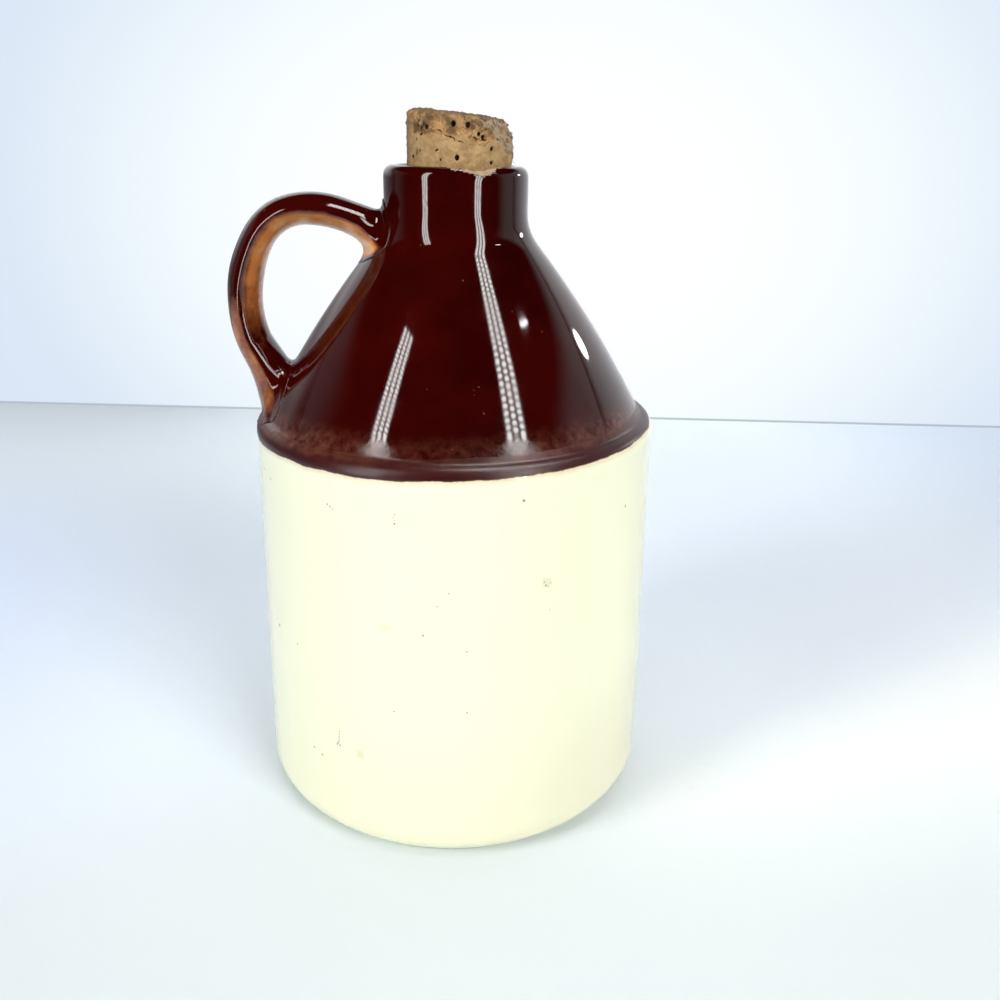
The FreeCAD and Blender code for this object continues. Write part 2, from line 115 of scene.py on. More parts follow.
class HandleSizes(bpy.types.PropertyGroup):
    """Pulled strap handle and its smoothed ends"""

    rise: length("Rise", "Top of its middle line above the ledge", 49.0)
    overhang: length("Overhang", "Its middle line beyond the shoulder", 1.65)
    crest_in: length("Crest inset", "Highest point inside the widest one", 16.95)
    crest_radius: length("Crest radius", "Curve next to the neck", 26.4)
    bend_radius: length("Bend radius", "Tight curve at the top", 14.8)
    back_radius: length("Back radius", "Long curve of the back", 30.8)
    root_slope: angle("Root slope", "Below level where it leaves the neck", 19.0)
    foot_slope: angle("Foot slope", "Off upright where it meets the ledge", 24.0)
    width: length("Width", "Across the strap", 14.8)
    thickness: length("Thickness", "Through the strap at its crest", 7.6)
    back_thickness: length("Back thickness", "Through the strap at its back", 8.1)
    foot_width: length("Foot width", "Across the strap at the ledge", 17.0)
    foot_flare: length("Foot flare", "Extra width where the strap spreads on the ledge", 9.0)
    foot_thickness: length("Foot thickness", "Through the strap at the ledge", 12.4)
    root_droop: length("Root droop", "The strap's edges hang down where it joins the neck", 2.4)
    root_droop_run: length("Root droop run", "Length over which the edges sink", 9.0)
    root_fillet: length("Root fillet", "Clay smoothed onto the neck", 3.0)
    foot_fillet: length("Foot fillet", "Clay smoothed onto the ledge", 3.4)
    root_pad: length("Root pad", "Edge that the smoothed clay stands above the neck", 0.28)
    foot_pad: length("Foot pad", "Edge that the smoothed clay stands above the ledge", 0.06)


class CorkSizes(bpy.types.PropertyGroup):
    """Cork above the rim"""

    stand: length("Stand", "Above the rim, along its leaning middle line", 11.4)
    top_radius: length("Top radius", "Before it was torn", 13.3)
    taper: angle("Taper", "Each side, above the mouth", 5.6)
    lean: angle("Lean", "Towards +X", 5.5)
    root: length("Root", "How far below the rim the leaning part starts", 6.9)
    bevel: length("Bevel", "Worn top edge", 1.3)
    break_turn: angle("Break turn", "Torn corner, from +X towards the front", 16.0)
    pore_depth: length("Pore depth", "How deep the pores go", 0.9)


class Finishes(bpy.types.PropertyGroup):
    """Colours of glaze, clay and cork"""

    dark_glaze: colour("Dark glaze", "Where it lies thick", 0.0185, 0.0003, 0.0003)
    # Red glaze is also painted light: it makes the dark glaze redder towards -X
    red_glaze_and_light: colour("Red glaze", "Where it lies thinner", 0.044, 0.0014, 0.0008)
    rust_glaze: colour("Rust glaze", "Thin at ledge and handle's edges", 0.170, 0.042, 0.013)
    amber_glaze: colour("Amber glaze", "Inside of the handle", 0.560, 0.200, 0.050)
    tan_glaze: colour("Tan glaze", "Thinnest, at the handle's inner edge", 0.740, 0.440, 0.220)
    pale_glaze: colour("Pale glaze", "Body", 0.960, 0.955, 0.695)
    stain: colour("Stain", "Yellowish places in the pale glaze", 0.560, 0.420, 0.200)
    speck: colour("Speck", "Small dark specks and scratches", 0.260, 0.215, 0.150)
    clay: colour("Clay", "Chip and bare underside", 0.560, 0.410, 0.270)
    cork_light: colour("Light cork", "Smooth part", 0.560, 0.370, 0.170)
    cork_mid: colour("Cork", "Most of it", 0.400, 0.245, 0.105)
    cork_dark: colour("Dark cork", "Torn hollows", 0.150, 0.078, 0.034)
    cork_grey: colour("Grey cork", "Weathered edge and torn face", 0.460, 0.360, 0.240)
    # Dark cork of the pores, with painted shade inside pores and slits
    pore: colour("Pore", "Inside the pores", 0.020, 0.006, 0.005)


class StageSizes(bpy.types.PropertyGroup):
    """Camera, table and wall"""

    eye: bpy.props.FloatVectorProperty(name="Eye", description="Place of the camera",
                                       default=(0.0, -0.24060, 0.16889), unit="LENGTH",
                                       subtype="TRANSLATION", size=3, precision=5)
    down: angle("Down", "The camera looks below level", math.degrees(0.3675))
    side: angle("Side", "The camera looks towards +X", math.degrees(0.0493))
    roll: angle("Roll", "The camera is turned about its own line", math.degrees(0.0171))
    lens: bpy.props.FloatProperty(name="Lens", description="Focal length in mm on a 36 mm sensor",
                                  default=34.263, subtype="DISTANCE_CAMERA")
    table: colour("Table", "Pale table", 0.80, 0.875, 0.975)
    wall: colour("Wall", "Pale wall behind the table", 0.71, 0.79, 0.93)
    wall_left: length("Wall on the left", "Distance behind the jug, 297 mm left of it", 374.0)
    wall_right: length("Wall on the right", "Distance behind the jug, 344 mm right of it", 323.7)


# ---------------------------------------------------------------- curves and fields

def ease(value):
    """Goes from 0 to 1 as the value does, level at both ends: 3t squared less 2t cubed."""
    t = np.clip(value, 0.0, 1.0)
    return t * t * (3.0 - 2.0 * t)


def waves(points, wavelength, seed, count=14):
    """Sum of sine waves that run in random directions: a smooth field, mostly within -1 to 1."""
    rng = np.random.default_rng(seed)
    way = rng.normal(size=(count, 3))
    way /= np.linalg.norm(way, axis=1, keepdims=True)
    way *= 2 * np.pi / (wavelength * rng.uniform(0.7, 1.45, (count, 1)))
    phase = rng.uniform(0, 2 * np.pi, count)
    return np.sin(points @ way.T + phase).sum(axis=-1) / math.sqrt(count)


def rough(points, wavelength, seed, octaves=3):
    """Waves added at halving wavelengths and halving heights: a broken, grainy field."""
    total = 0.0
    for octave in range(octaves):
        total = total + waves(points, wavelength / 2 ** octave, seed + octave, 22) / 2 ** octave
    return total


def arc(centre, radius, start, end, count=90):
    """Points at equal steps of angle round a circle, angles in degrees."""
    turn = np.radians(np.linspace(start, end, count))
    return np.column_stack([centre[0] + radius * np.cos(turn), centre[1] + radius * np.sin(turn)])


def even(points, step):
    """The same line with its points a fixed step apart along it."""
    run = runs(points)
    at = np.linspace(0.0, run[-1], int(run[-1] / step) + 2)
    return np.column_stack([np.interp(at, run, points[:, k]) for k in range(points.shape[1])])


def softened(points, reach):
    """Each point becomes the bell-weighted mean of its neighbours, which rounds small corners."""
    offsets = np.arange(-3 * reach, 3 * reach + 1)
    weight = np.exp(-0.5 * (offsets / reach) ** 2)
    weight /= weight.sum()
    padded = np.pad(points, ((3 * reach, 3 * reach), (0, 0)), mode="reflect", reflect_type="odd")
    return np.column_stack([np.convolve(padded[:, k], weight, "valid") for k in range(2)])


def wrapped(turn):
    """The same angle within half a turn of zero."""
    return (turn + math.pi) % (2 * math.pi) - math.pi


def runs(line):
    """Length along a line up to each of its points."""
    return np.r_[0.0, np.cumsum(np.linalg.norm(np.diff(line, axis=0), axis=1))]


def unit(ways):
    """The same directions with length 1."""
    return ways / np.linalg.norm(ways, axis=-1, keepdims=True)


# ---------------------------------------------------------------- skins

def skin(rings, first, last, **values):
    """Closed skin: each ring of points is joined to the next, and the ends run to one point each.

    Both ends take the mean of a value over the first ring. All faces are turned over when the
    volume that they enclose, the sum of a . (b x c + c x d) over the quads, comes out negative.
    """
    count, around = rings.shape[:2]
    index = np.arange(count * around).reshape(count, around)
    after = np.roll(index, -1, axis=1)
    quads = np.stack([index[:-1], after[:-1], after[1:], index[1:]], axis=-1).reshape(-1, 4)
    ends = np.broadcast_to([[count * around], [count * around + 1]], (2, around))
    fans = np.concatenate([np.stack([ends[0], after[0], index[0]], axis=-1),
                           np.stack([index[-1], after[-1], ends[1]], axis=-1)])
    points = np.vstack([rings.reshape(-1, 3), first, last])
    values = {name: np.r_[value.ravel(), [value[0].mean()] * 2]
              for name, value in values.items()}
    a, b, c, d = (points[quads[:, k]] for k in range(4))
    if (a * (np.cross(b, c) + np.cross(c, d))).sum() < 0:
        quads, fans = quads[:, ::-1], fans[:, ::-1]
    return points, quads, fans, values


def piece(name, skins, material, sharp=38.0):
    """One object at the origin from any number of skins, with their values as point attributes."""
    points = np.concatenate([item[0] for item in skins])
    shifts = np.cumsum([0] + [len(item[0]) for item in skins[:-1]])
    quads = np.concatenate([item[1] + shift for item, shift in zip(skins, shifts)])
    fans = np.concatenate([item[2] + shift for item, shift in zip(skins, shifts)])
    corners = np.concatenate([quads.ravel(), fans.ravel()])
    starts = np.r_[np.arange(len(quads)) * 4, len(quads) * 4 + np.arange(len(fans)) * 3]
    mesh = bpy.data.meshes.new(name)
    mesh.vertices.add(len(points))
    mesh.vertices.foreach_set("co", points.ravel())
    mesh.loops.add(len(corners))
    mesh.loops.foreach_set("vertex_index", corners)
    mesh.polygons.add(len(starts))
    mesh.polygons.foreach_set("loop_start", starts)
    mesh.update(calc_edges=True)
    for key in sorted({key for item in skins for key in item[3]}):
        whole = np.concatenate([np.asarray(item[3].get(key, np.zeros(len(item[0])))).ravel()
                                for item in skins])
        mesh.attributes.new(key, "FLOAT", "POINT").data.foreach_set("value", whole)
    mesh.shade_smooth()
    mesh.set_sharp_from_angle(angle=math.radians(sharp))
    mesh.materials.append(material)
    item = bpy.data.objects.new(name, mesh)
    bpy.context.scene.collection.objects.link(item)
    return item


# ---------------------------------------------------------------- the jug's turned shape

def jug_line(size):
    """Half outline, radius and height, from the underside's middle up to the mouth's seat.

    Underside, rounded foot, leaning side, quarter-round ledge, full cone (part of a large
    circle), hollow blend tangent to cone and neck, straight neck, half-round lip, tapered mouth.
    """
    foot = size.foot_round
    ledge = size.ledge_round
    lip = size.lip_round
    neck = size.neck_radius
    ledge_top = size.side_height + ledge
    rim = ledge_top + size.cone_height + size.neck_height
    low = np.array([size.shoulder_radius - ledge, ledge_top])
    high = np.array([neck, ledge_top + size.cone_height])
    chord = high - low
    out = np.array([chord[1], -chord[0]]) / np.linalg.norm(chord)
    bulge = size.cone_bulge
    middle = (low + high) / 2 - out * math.sqrt(bulge ** 2 - (chord ** 2).sum() / 4)
    blend = size.neck_blend
    blend_x = neck + blend
    blend_y = middle[1] + math.sqrt((bulge + blend) ** 2 - (blend_x - middle[0]) ** 2)
    meet = math.degrees(math.atan2(blend_y - middle[1], blend_x - middle[0]))
    start = math.degrees(math.atan2(low[1] - middle[1], low[0] - middle[0]))
    mouth = neck - 2 * lip
    drop = size.mouth_depth - lip
    seat = mouth - drop * math.tan(size.mouth_taper)
    parts = [
        [[0.0, 0.0]],
        arc((size.base_radius - foot, foot), foot, -90, 0),
        arc((size.shoulder_radius - ledge, size.side_height), ledge, 0, 90),
        arc(middle, bulge, start, meet, 200),
        arc((blend_x, blend_y), blend, meet + 180, 180),
        arc((neck - lip, rim - lip), lip, 0, 180),
        [[seat, rim - size.mouth_depth], [0.0, rim - size.mouth_depth]],
    ]
    return softened(even(np.concatenate(parts), 0.1 * MM), 6), rim


def row_steps(line, size, rim):
    """Rows are close together on foot, ledge, blend and lip, and wide apart on plain parts."""
    radius, height = line.T
    ledge = size.side_height
    lip = rim - 4.5 * MM
    inside = (height > rim - size.mouth_depth - MM) & (radius < size.neck_radius - 3 * MM)
    stretches = [
        (radius >= 0, 2.2),
        ((height < 12 * MM) & (radius > 40 * MM), 0.8),
        (height > ledge - 9.3 * MM, 0.9),
        ((height > ledge - 1.8 * MM) & (height < ledge + 6.7 * MM), 0.33),
        (height > ledge + 38.7 * MM, 0.6),
        (height > lip, 0.24),
        (inside & (height < lip), 1.2),
    ]
    step = np.zeros(len(line))
    for there, spacing in stretches:
        step[there] = spacing * MM
    return softened(np.column_stack([step, step]), 10)[:, 0]


def spread(step, run):
    """Places along a run, spaced by the wanted step: equal shares of the sum of 1/step."""
    share = np.r_[0.0, np.cumsum(np.diff(run) / step[:-1])]
    at = np.linspace(0.0, share[-1], int(share[-1]) + 1)
    return np.interp(at, share, run)


def columns(chip):
    """Angles round the axis, closer together by the chip."""
    turn = np.radians(np.arange(0.0, 360.01, 0.25))
    away = np.abs(wrapped(turn - chip.turn + math.pi / 2))
    step = np.radians(0.55 + 1.35 * ease((away - math.radians(30)) / math.radians(12)))
    return spread(step, turn)[:-1]


def thrown(points, size):
    """How far the surface lies inside the true turned shape: slow waves, always inwards."""
    slow = waves(points * (1.0, 1.0, 1.3), 42 * MM, 11)
    ring = waves(points * (0.25, 0.25, 1.0), 11 * MM, 12)
    return size.wobble * (0.85 + 0.45 * slow + 0.03 * ring).clip(0.0, 2.0)


def line_gap(points, size):
    """Height above the edge of the dark glaze, which climbs towards +X and wavers."""
    waver = waves(points, 16 * MM, 21) * 0.22 * MM
    return points[..., 2] - size.line_height - size.line_rise * points[..., 0] + waver


def jug_rings(size, chip):
    """The outline carried round: (r cos t, r sin t, z), then wobble, glaze step and chip."""
    line, rim = jug_line(size)
    run = runs(line)
    at = spread(row_steps(line, size, rim), run)
    radius = np.interp(at, run, line[:, 0])[1:-1, None]
    height = np.interp(at, run, line[:, 1])[1:-1, None]
    turn = columns(chip)[None, :]
    around = np.stack([np.cos(turn), np.sin(turn), np.zeros_like(turn)], axis=-1)
    upright = np.array([0.0, 0.0, 1.0])
    points = radius[..., None] * around + height[..., None] * upright
    outside = ease((radius - size.neck_radius + 4 * MM) / (3 * MM)) * ease(height / (3 * MM))
    inward = thrown(points, size) * outside
    pale = 1 - ease(line_gap(points, size) / (0.9 * MM) + 0.5)
    inward = inward + size.glaze_step * pale * outside
    points = (radius - inward)[..., None] * around + height[..., None] * upright
    return line, *chipped(points, turn, size, chip, rim)


def chipped(points, turn, size, chip, rim):
    """The lip is cut by a rough sloping surface, in rays from a circle inside the lip.

    The cut's height is the rim less a depth that falls off along the lip on both sides, and it
    drops towards the outside. A point beyond the cut comes back along its ray to the cut.
    """
    radius = np.hypot(points[..., 0], points[..., 1])
    height = points[..., 2]
    heart = np.array([size.neck_radius - size.lip_round, rim - 4.2 * MM])
    away = wrapped(turn - chip.turn + math.pi / 2)
    along = away * heart[0] + 0.5 * MM * waves(points, 4 * MM, 33)
    share = 1 - np.where(along < 0, -along / chip.left, along / chip.right)
    share = np.sign(share) * np.abs(share) ** 1.15
    wide = 2 * size.lip_round
    slope = (chip.depth - chip.inner_depth) * share.clip(0, None) / wide + 0.05
    grain = 0.16 * MM * rough(points, 1.7 * MM, 34) + 0.22 * MM * waves(points, 5 * MM, 35)
    level = rim - chip.inner_depth * share - grain * ease(share * 4 + 0.4)
    inner = size.neck_radius - wide
    way = np.stack([radius - heart[0], height - heart[1]], axis=-1)
    reach = np.linalg.norm(way, axis=-1)
    way = way / np.maximum(reach, 1e-9)[..., None]
    slant = way[..., 1] + slope * way[..., 0]
    least = 0.05    # slant below which a ray runs along the cut
    meets = slant > least
    cut = (level - heart[1] - (heart[0] - inner) * slope) / np.where(meets, slant, least)
    near = (height > heart[1]) & meets & (share > -0.5)
    broken = np.where(near, reach - cut, -1.0 * MM)
    new = np.where(broken > 0, cut, reach)
    radius_new = heart[0] + way[..., 0] * new
    scale = np.where(broken > 0, radius_new / np.maximum(radius, 1e-9), 1.0)
    out = points * np.stack([scale, scale, np.ones_like(scale)], axis=-1)
    out[..., 2] = np.where(broken > 0, heart[1] + way[..., 1] * new, height)
    return out, np.clip(broken / MM, -1.0, 1.0)


def outer_radius(line, height):
    """Radius of the outside at a height, read from the outline between foot and lip."""
    top = int(np.argmax(line[:, 1]))
    low = int(np.argmax(line[:, 0]))
    rising = np.maximum.accumulate(line[low:top, 1]) + np.arange(top - low) * 1e-9
    return np.interp(height, rising, line[low:top, 0])


def onto(line, points):
    """Nearest places on the turned outside, and the outward directions there."""
    radius = np.hypot(points[..., 0], points[..., 1])
    flat = np.stack([radius, points[..., 2]], axis=-1).reshape(-1, 2)
    part = line[::2]
    part = part[part[:, 0] > 10 * MM]
    nearest = ((flat[:, None, :] - part[None]) ** 2).sum(axis=-1).argmin(axis=1)
    slope = unit(np.gradient(part, axis=0))
    spot = part[nearest].reshape(radius.shape + (2,))
    face = np.stack([slope[:, 1], -slope[:, 0]], axis=-1)[nearest].reshape(radius.shape + (2,))
    side = points[..., :2] / radius[..., None]
    place = np.concatenate([side * spot[..., :1], spot[..., 1:]], axis=-1)
    outward = np.concatenate([side * face[..., :1], face[..., 1:]], axis=-1)
    return place, outward


# ---------------------------------------------------------------- the handle

# Points round the strap, rows along it, and rows of the curve that joins it to the jug
STRAP_AROUND, STRAP_ROWS, FILLET_ROWS = 96, 150, 14


def handle_line(handle, jug):
    """Middle line in XZ: straight root, three arcs tangent to each other, straight foot."""
    reach = jug.shoulder_radius + handle.overhang
    crest = np.array([-(reach - handle.crest_in),
                      jug.side_height + jug.ledge_round + handle.rise])
    first, second, third = handle.crest_radius, handle.bend_radius, handle.back_radius
    first_at = crest - (0.0, first)
    second_at = crest - (0.0, second)
    across = third - reach - second_at[0]
    drop = math.sqrt((third - second) ** 2 - across ** 2)
    third_at = np.array([third - reach, second_at[1] - drop])
    meet = math.degrees(math.atan2(second_at[1] - third_at[1], -across))
    root = math.degrees(handle.root_slope)
    foot = math.degrees(handle.foot_slope)
    top = arc(first_at, first, 90 - root, 90)
    back = arc(third_at, third, meet, 180 + foot)
    root_x = -(jug.neck_radius - jug.lip_round)
    root_end = [root_x, top[0, 1] - (root_x - top[0, 0]) * math.tan(handle.root_slope)]
    foot_end = [back[-1, 0] + (back[-1, 1] - jug.side_height) * math.tan(handle.foot_slope),
                jug.side_height]
    bend = arc(second_at, second, 90, meet)
    whole = np.concatenate([[root_end], top, bend[1:], back[1:], [foot_end]])
    return softened(even(whole, 0.1 * MM), 8)


class Strap:
    """Lens-shaped section carried along the handle's middle line.

    Across the strap a point lies at cos(turn) half widths, and through it at sin(turn) to the
    power 1.2 half thicknesses, which leaves a narrow edge along each side.
    """

    def __init__(self, handle, jug):
        self.line = handle_line(handle, jug)
        self.run = runs(self.line)
        self.whole = self.run[-1]
        slope = unit(np.gradient(self.line, axis=0))
        self.out = np.column_stack([slope[:, 1], -slope[:, 0]])
        self.at = np.array([0.0, 0.14, 0.30, 0.52, 0.74, 0.86, 1.0]) * self.whole
        thin, back = handle.thickness, handle.back_thickness
        foot = handle.foot_thickness
        self.thick = np.array([thin * 1.16, thin * 1.02, thin, back, back * 1.03,
                               foot * 0.83, foot])
        wide = handle.width
        self.wide = np.array([wide * 1.06, wide, wide, wide, wide, wide * 1.05, handle.foot_width])
        self.flare = handle.foot_flare
        self.base = thin
        self.droop = handle.root_droop
        self.droop_run = handle.root_droop_run

    def points(self, place, turn):
        """Places on the strap's surface at a run along the middle line and a turn round it."""
        place, turn = np.broadcast_arrays(place, turn)
        x = np.interp(place, self.run, self.line[:, 0])
        z = np.interp(place, self.run, self.line[:, 1])
        out_x = np.interp(place, self.run, self.out[:, 0])
        out_z = np.interp(place, self.run, self.out[:, 1])
        thick = np.interp(place, self.at, self.thick)
        droop = self.droop * (1 - ease(place / self.droop_run)) * np.abs(np.cos(turn)) ** 1.5
        wide = np.interp(place, self.at, self.wide)
        wide = wide + self.flare * ease((place / self.whole - 0.84) / 0.16) ** 1.6
        through = np.sign(np.sin(turn)) * np.abs(np.sin(turn)) ** 1.2 * thick / 2 - droop
        extra = (thick - self.base) * (1 - ease((place / self.whole - 0.8) / 0.15))
        through = through - extra / 2
        y = np.cos(turn) * wide / 2
        spot = np.stack([x + out_x * through, y, z + out_z * through], axis=-1)
        sway = 0.10 * MM * waves(spot, 14 * MM, 41)
        spot[..., 0] += out_x * sway
        spot[..., 2] += out_z * sway
        spot[..., 1] += 0.5 * sway
        return spot


def foot_rings(strap, line, turn, from_run, to_run, fillet, pad, aside, inner):
    """End of the strap smoothed onto the jug.

    Along each line of the strap the curve leaves it a fillet's length before the jug, bends
    outwards (a cubic with both end directions given), reaches a small height above the jug's
    surface, rounds off and sinks into it. The fillet is longer at the two edges.
    """
    steps = np.linspace(from_run, to_run, 240)[:, None]
    spots = strap.points(steps, turn[None, :])
    within = np.hypot(spots[..., 0], spots[..., 1]) < outer_radius(line, spots[..., 2])
    hit = steps[np.argmax(within, axis=0), 0]
    inside = np.clip(-np.sin(turn), 0.0, 1.0) ** 2
    fillet = fillet * (1 + aside * np.cos(turn) ** 4 + inner * inside)
    pad = (pad * (1 - 0.8 * inside))[:, None]
    way = np.sign(to_run - from_run)
    leave = hit - way * fillet * 1.15
    start = strap.points(leave, turn)
    fillet = fillet[:, None]
    ahead = unit(strap.points(leave + way * 0.2 * MM, turn) - start)
    met, outward = onto(line, strap.points(hit, turn))
    middle = met.mean(axis=0)
    spread_way = met - middle
    spread_way = unit(spread_way - (spread_way * outward).sum(-1, keepdims=True) * outward)
    land, outward = onto(line, met + spread_way * fillet)
    land = land + outward * pad
    share = np.linspace(0, 1, FILLET_ROWS + 1)[1:, None, None]
    control = [start, start + ahead * fillet * 0.75, land - spread_way * fillet * 0.75, land]
    curve = ((1 - share) ** 3 * control[0] + 3 * (1 - share) ** 2 * share * control[1]
             + 3 * (1 - share) * share ** 2 * control[2] + share ** 3 * control[3])
    sink = [land + spread_way * 0.45 * pad - outward * 0.12 * pad,
            land + spread_way * 0.85 * pad - outward * 0.50 * pad,
            land + spread_way * 1.05 * pad - outward * 1.10 * pad,
            land + spread_way * 0.90 * pad - outward * (pad + 0.5 * MM)]
    rings = np.concatenate([curve, np.array(sink)])
    centre = sink[-1].mean(axis=0) - outward.mean(axis=0) * 1.5 * MM
    return leave, rings, centre


def handle_skin(handle, jug, line):
    """Rings of the root's clay, of the strap and of the foot's clay, one after the other.

    The glaze is thick where the smoothed clay sinks into the jug: there its thinness fades out.
    """
    strap = Strap(handle, jug)
    turn = np.linspace(0, 2 * np.pi, STRAP_AROUND, endpoint=False)
    half = strap.whole * 0.5
    root_leave, root, root_end = foot_rings(strap, line, turn, half, 0.0,
                                            handle.root_fillet, handle.root_pad, 0.3, 0.7)
    foot_leave, foot, foot_end = foot_rings(strap, line, turn, half, strap.whole,
                                            handle.foot_fillet, handle.foot_pad, 1.1, 0.0)
    place = root_leave + (foot_leave - root_leave) * np.linspace(0, 1, STRAP_ROWS)[:, None]
    rings = np.concatenate([root[::-1], strap.points(place, turn[None, :]), foot])
    places = np.concatenate([np.broadcast_to(root_leave, root.shape[:2]), place,
                             np.broadcast_to(foot_leave, foot.shape[:2])])
    turns = np.broadcast_to(turn, places.shape)
    share = np.arange(len(root)) / (FILLET_ROWS - 1)
    fading = np.r_[ease((share - 0.68) / 0.32)[::-1], np.zeros(len(place)),
                   ease((share - 0.35) / 0.60)][:, None]
    thin = handle_thinness(rings, places / strap.whole, turns) * (1 - 0.92 * fading)
    return skin(rings, root_end, foot_end, thin=thin, broken=np.full(places.shape, -1.0))


def handle_thinness(rings, share, turn):
    """0 where glaze lies thick, 1 where it has run thin: inside the loop and low outside."""
    inner = ease((-np.sin(turn) + 0.12) / 0.75)
    along = np.interp(share, [0.0, 0.10, 0.22, 0.36, 0.48, 0.58, 0.68, 0.80],
                      [1.15, 1.03, 0.92, 0.86, 0.70, 0.50, 0.30, 0.0])
    low = ease((share - 0.50) / 0.22) * ease((np.sin(turn) + 0.25) / 0.5)
    edge = np.exp(-(np.sin(turn) / 0.16) ** 2) * ease((share - 0.10) / 0.1)
    patch = 1 + 0.18 * waves(rings, 7 * MM, 51)
    return np.clip(np.maximum.reduce([inner * along, 0.42 * low, 0.16 * edge]) * patch, 0, 1.15)


# ---------------------------------------------------------------- the cork

# Pores: turn from the front towards +X in degrees, height along the middle line from its root,
# radius, both in mm
PORES = [
    (-9.5, 15.7, 0.62), (5.1, 15.8, 0.60), (-38.9, 14.4, 0.50), (-2.8, 8.7, 0.58),
    (33.7, 11.4, 0.45), (36.2, 8.4, 0.42), (-59.9, 7.6, 0.50), (17.1, 14.2, 0.42),
    (21.7, 13.7, 0.42), (-52.7, 11.6, 0.30), (-58.3, 13.0, 0.32), (-47.0, 9.2, 0.26),
    (24.0, 15.6, 0.30), (-70.2, 9.0, 0.35), (44.0, 13.9, 0.30), (-20.0, 7.8, 0.24),
    (75.0, 14.0, 0.50), (120.0, 10.5, 0.55), (150.0, 14.6, 0.45), (-160.0, 12.0, 0.55),
    (-130.0, 9.0, 0.50), (-115.0, 14.8, 0.60), (-98.0, 11.3, 0.35), (172.0, 9.0, 0.40),
    (104.0, 15.6, 0.35), (-145.0, 15.8, 0.35),
]

# Cracks and torn slits: turn, height, half length, half width, slope of the slit in degrees
SLITS = [
    (-12.5, 12.9, 2.5, 0.24, -17.0), (-1.5, 12.2, 1.3, 0.20, -12.0),
    (-50.0, 15.2, 1.9, 0.42, 78.0), (-44.5, 14.6, 1.7, 0.36, 70.0),
    (-47.0, 12.9, 0.9, 0.30, 60.0), (-52.0, 8.9, 1.1, 0.26, 75.0),
    (-24.0, 14.0, 0.8, 0.30, 0.0), (24.0, 13.0, 1.2, 0.34, 10.0),
    (14.0, 13.2, 0.9, 0.24, -15.0), (-26.0, 9.6, 1.0, 0.18, 40.0),
    (110.0, 13.0, 2.4, 0.30, 20.0), (165.0, 12.0, 1.8, 0.26, -30.0),
    (-120.0, 12.5, 2.2, 0.32, 12.0),
]

# Fibres on the torn face; rows and points round of the plug
FIBRES, PLUG_ROWS, PLUG_AROUND = 46, 24, 120


def cork_outline(cork):
    """Radius and height above the root: up the leaning side, over the worn edge, to the middle."""
    top = cork.root + cork.stand
    edge = top - cork.bevel
    parts = [[cork.top_radius - edge * math.tan(cork.taper), 0.0], [cork.top_radius, edge],
             [cork.top_radius - cork.bevel, top], [0.0, top]]
    return softened(even(np.array(parts), 0.05 * MM), 6)


def cork_rings(cork, rim):
    """Leaning outline carried round, cut back to the torn corner along rays from its heart."""
    line = cork_outline(cork)
    run = runs(line)
    step = np.where(line[:, 1] < 5 * MM, 0.8, 0.2) * MM
    step = np.where((line[:, 0] < 11 * MM) & (line[:, 1] > 10 * MM), 0.32 * MM, step)
    at = spread(step, run)[:-1]
    radius = np.interp(at, run, line[:, 0])[:, None]
    height = np.interp(at, run, line[:, 1])[:, None]
    steps = np.linspace(0, 2 * np.pi, 2001)
    front = np.abs(wrapped(steps + math.radians(70)))
    around_step = np.radians(0.85 + 0.75 * ease((front - math.radians(85)) / math.radians(25)))
    turn = spread(around_step, steps)[None, :-1]
    local = np.stack([radius * np.cos(turn), radius * np.sin(turn),
                      np.broadcast_to(height, (len(at), turn.shape[1]))], axis=-1)
    lean = np.array(Matrix.Rotation(cork.lean, 3, "Y"))
    root = np.array([0.0, 0.0, rim - cork.root])
    points = local @ lean.T + root
    heart = np.array([0.0, 0.0, rim + 1.0 * MM])
    way = points - heart
    reach = np.linalg.norm(way, axis=-1)
    way /= reach[..., None]
    facing = np.array([math.cos(cork.break_turn), -math.sin(cork.break_turn), 0.0])
    top = rim + cork.stand
    torn = np.full(reach.shape, -2.0 * MM)
    limit = reach.copy()
    least = 0.02    # slant below which a ray runs along a cut
    cuts = (((8.2 * MM, top - 0.2 * MM), (11.7 * MM, top - 4.7 * MM)),
            ((11.7 * MM, top - 4.7 * MM), (14.1 * MM, rim + 0.6 * MM)))
    for (out_a, high_a), (out_b, high_b) in cuts:
        fall = np.array([out_b - out_a, high_b - high_a])
        face = np.array([-fall[1], fall[0]]) / np.linalg.norm(fall)
        normal = facing * face[0] + np.array([0.0, 0.0, face[1]])
        offset = np.dot(facing * out_a + np.array([0.0, 0.0, high_a]) - heart, normal)
        offset = offset + 0.30 * MM * waves(points, 3.2 * MM, 71) - 0.22 * MM
        slant = way @ normal
        meets = slant > least
        distance = offset / np.where(meets, slant, least)
        torn = np.where(meets, np.maximum(torn, reach - distance), torn)
        limit = np.where(meets, np.minimum(limit, distance), limit)
    points = heart + way * limit[..., None]
    return points, local, torn


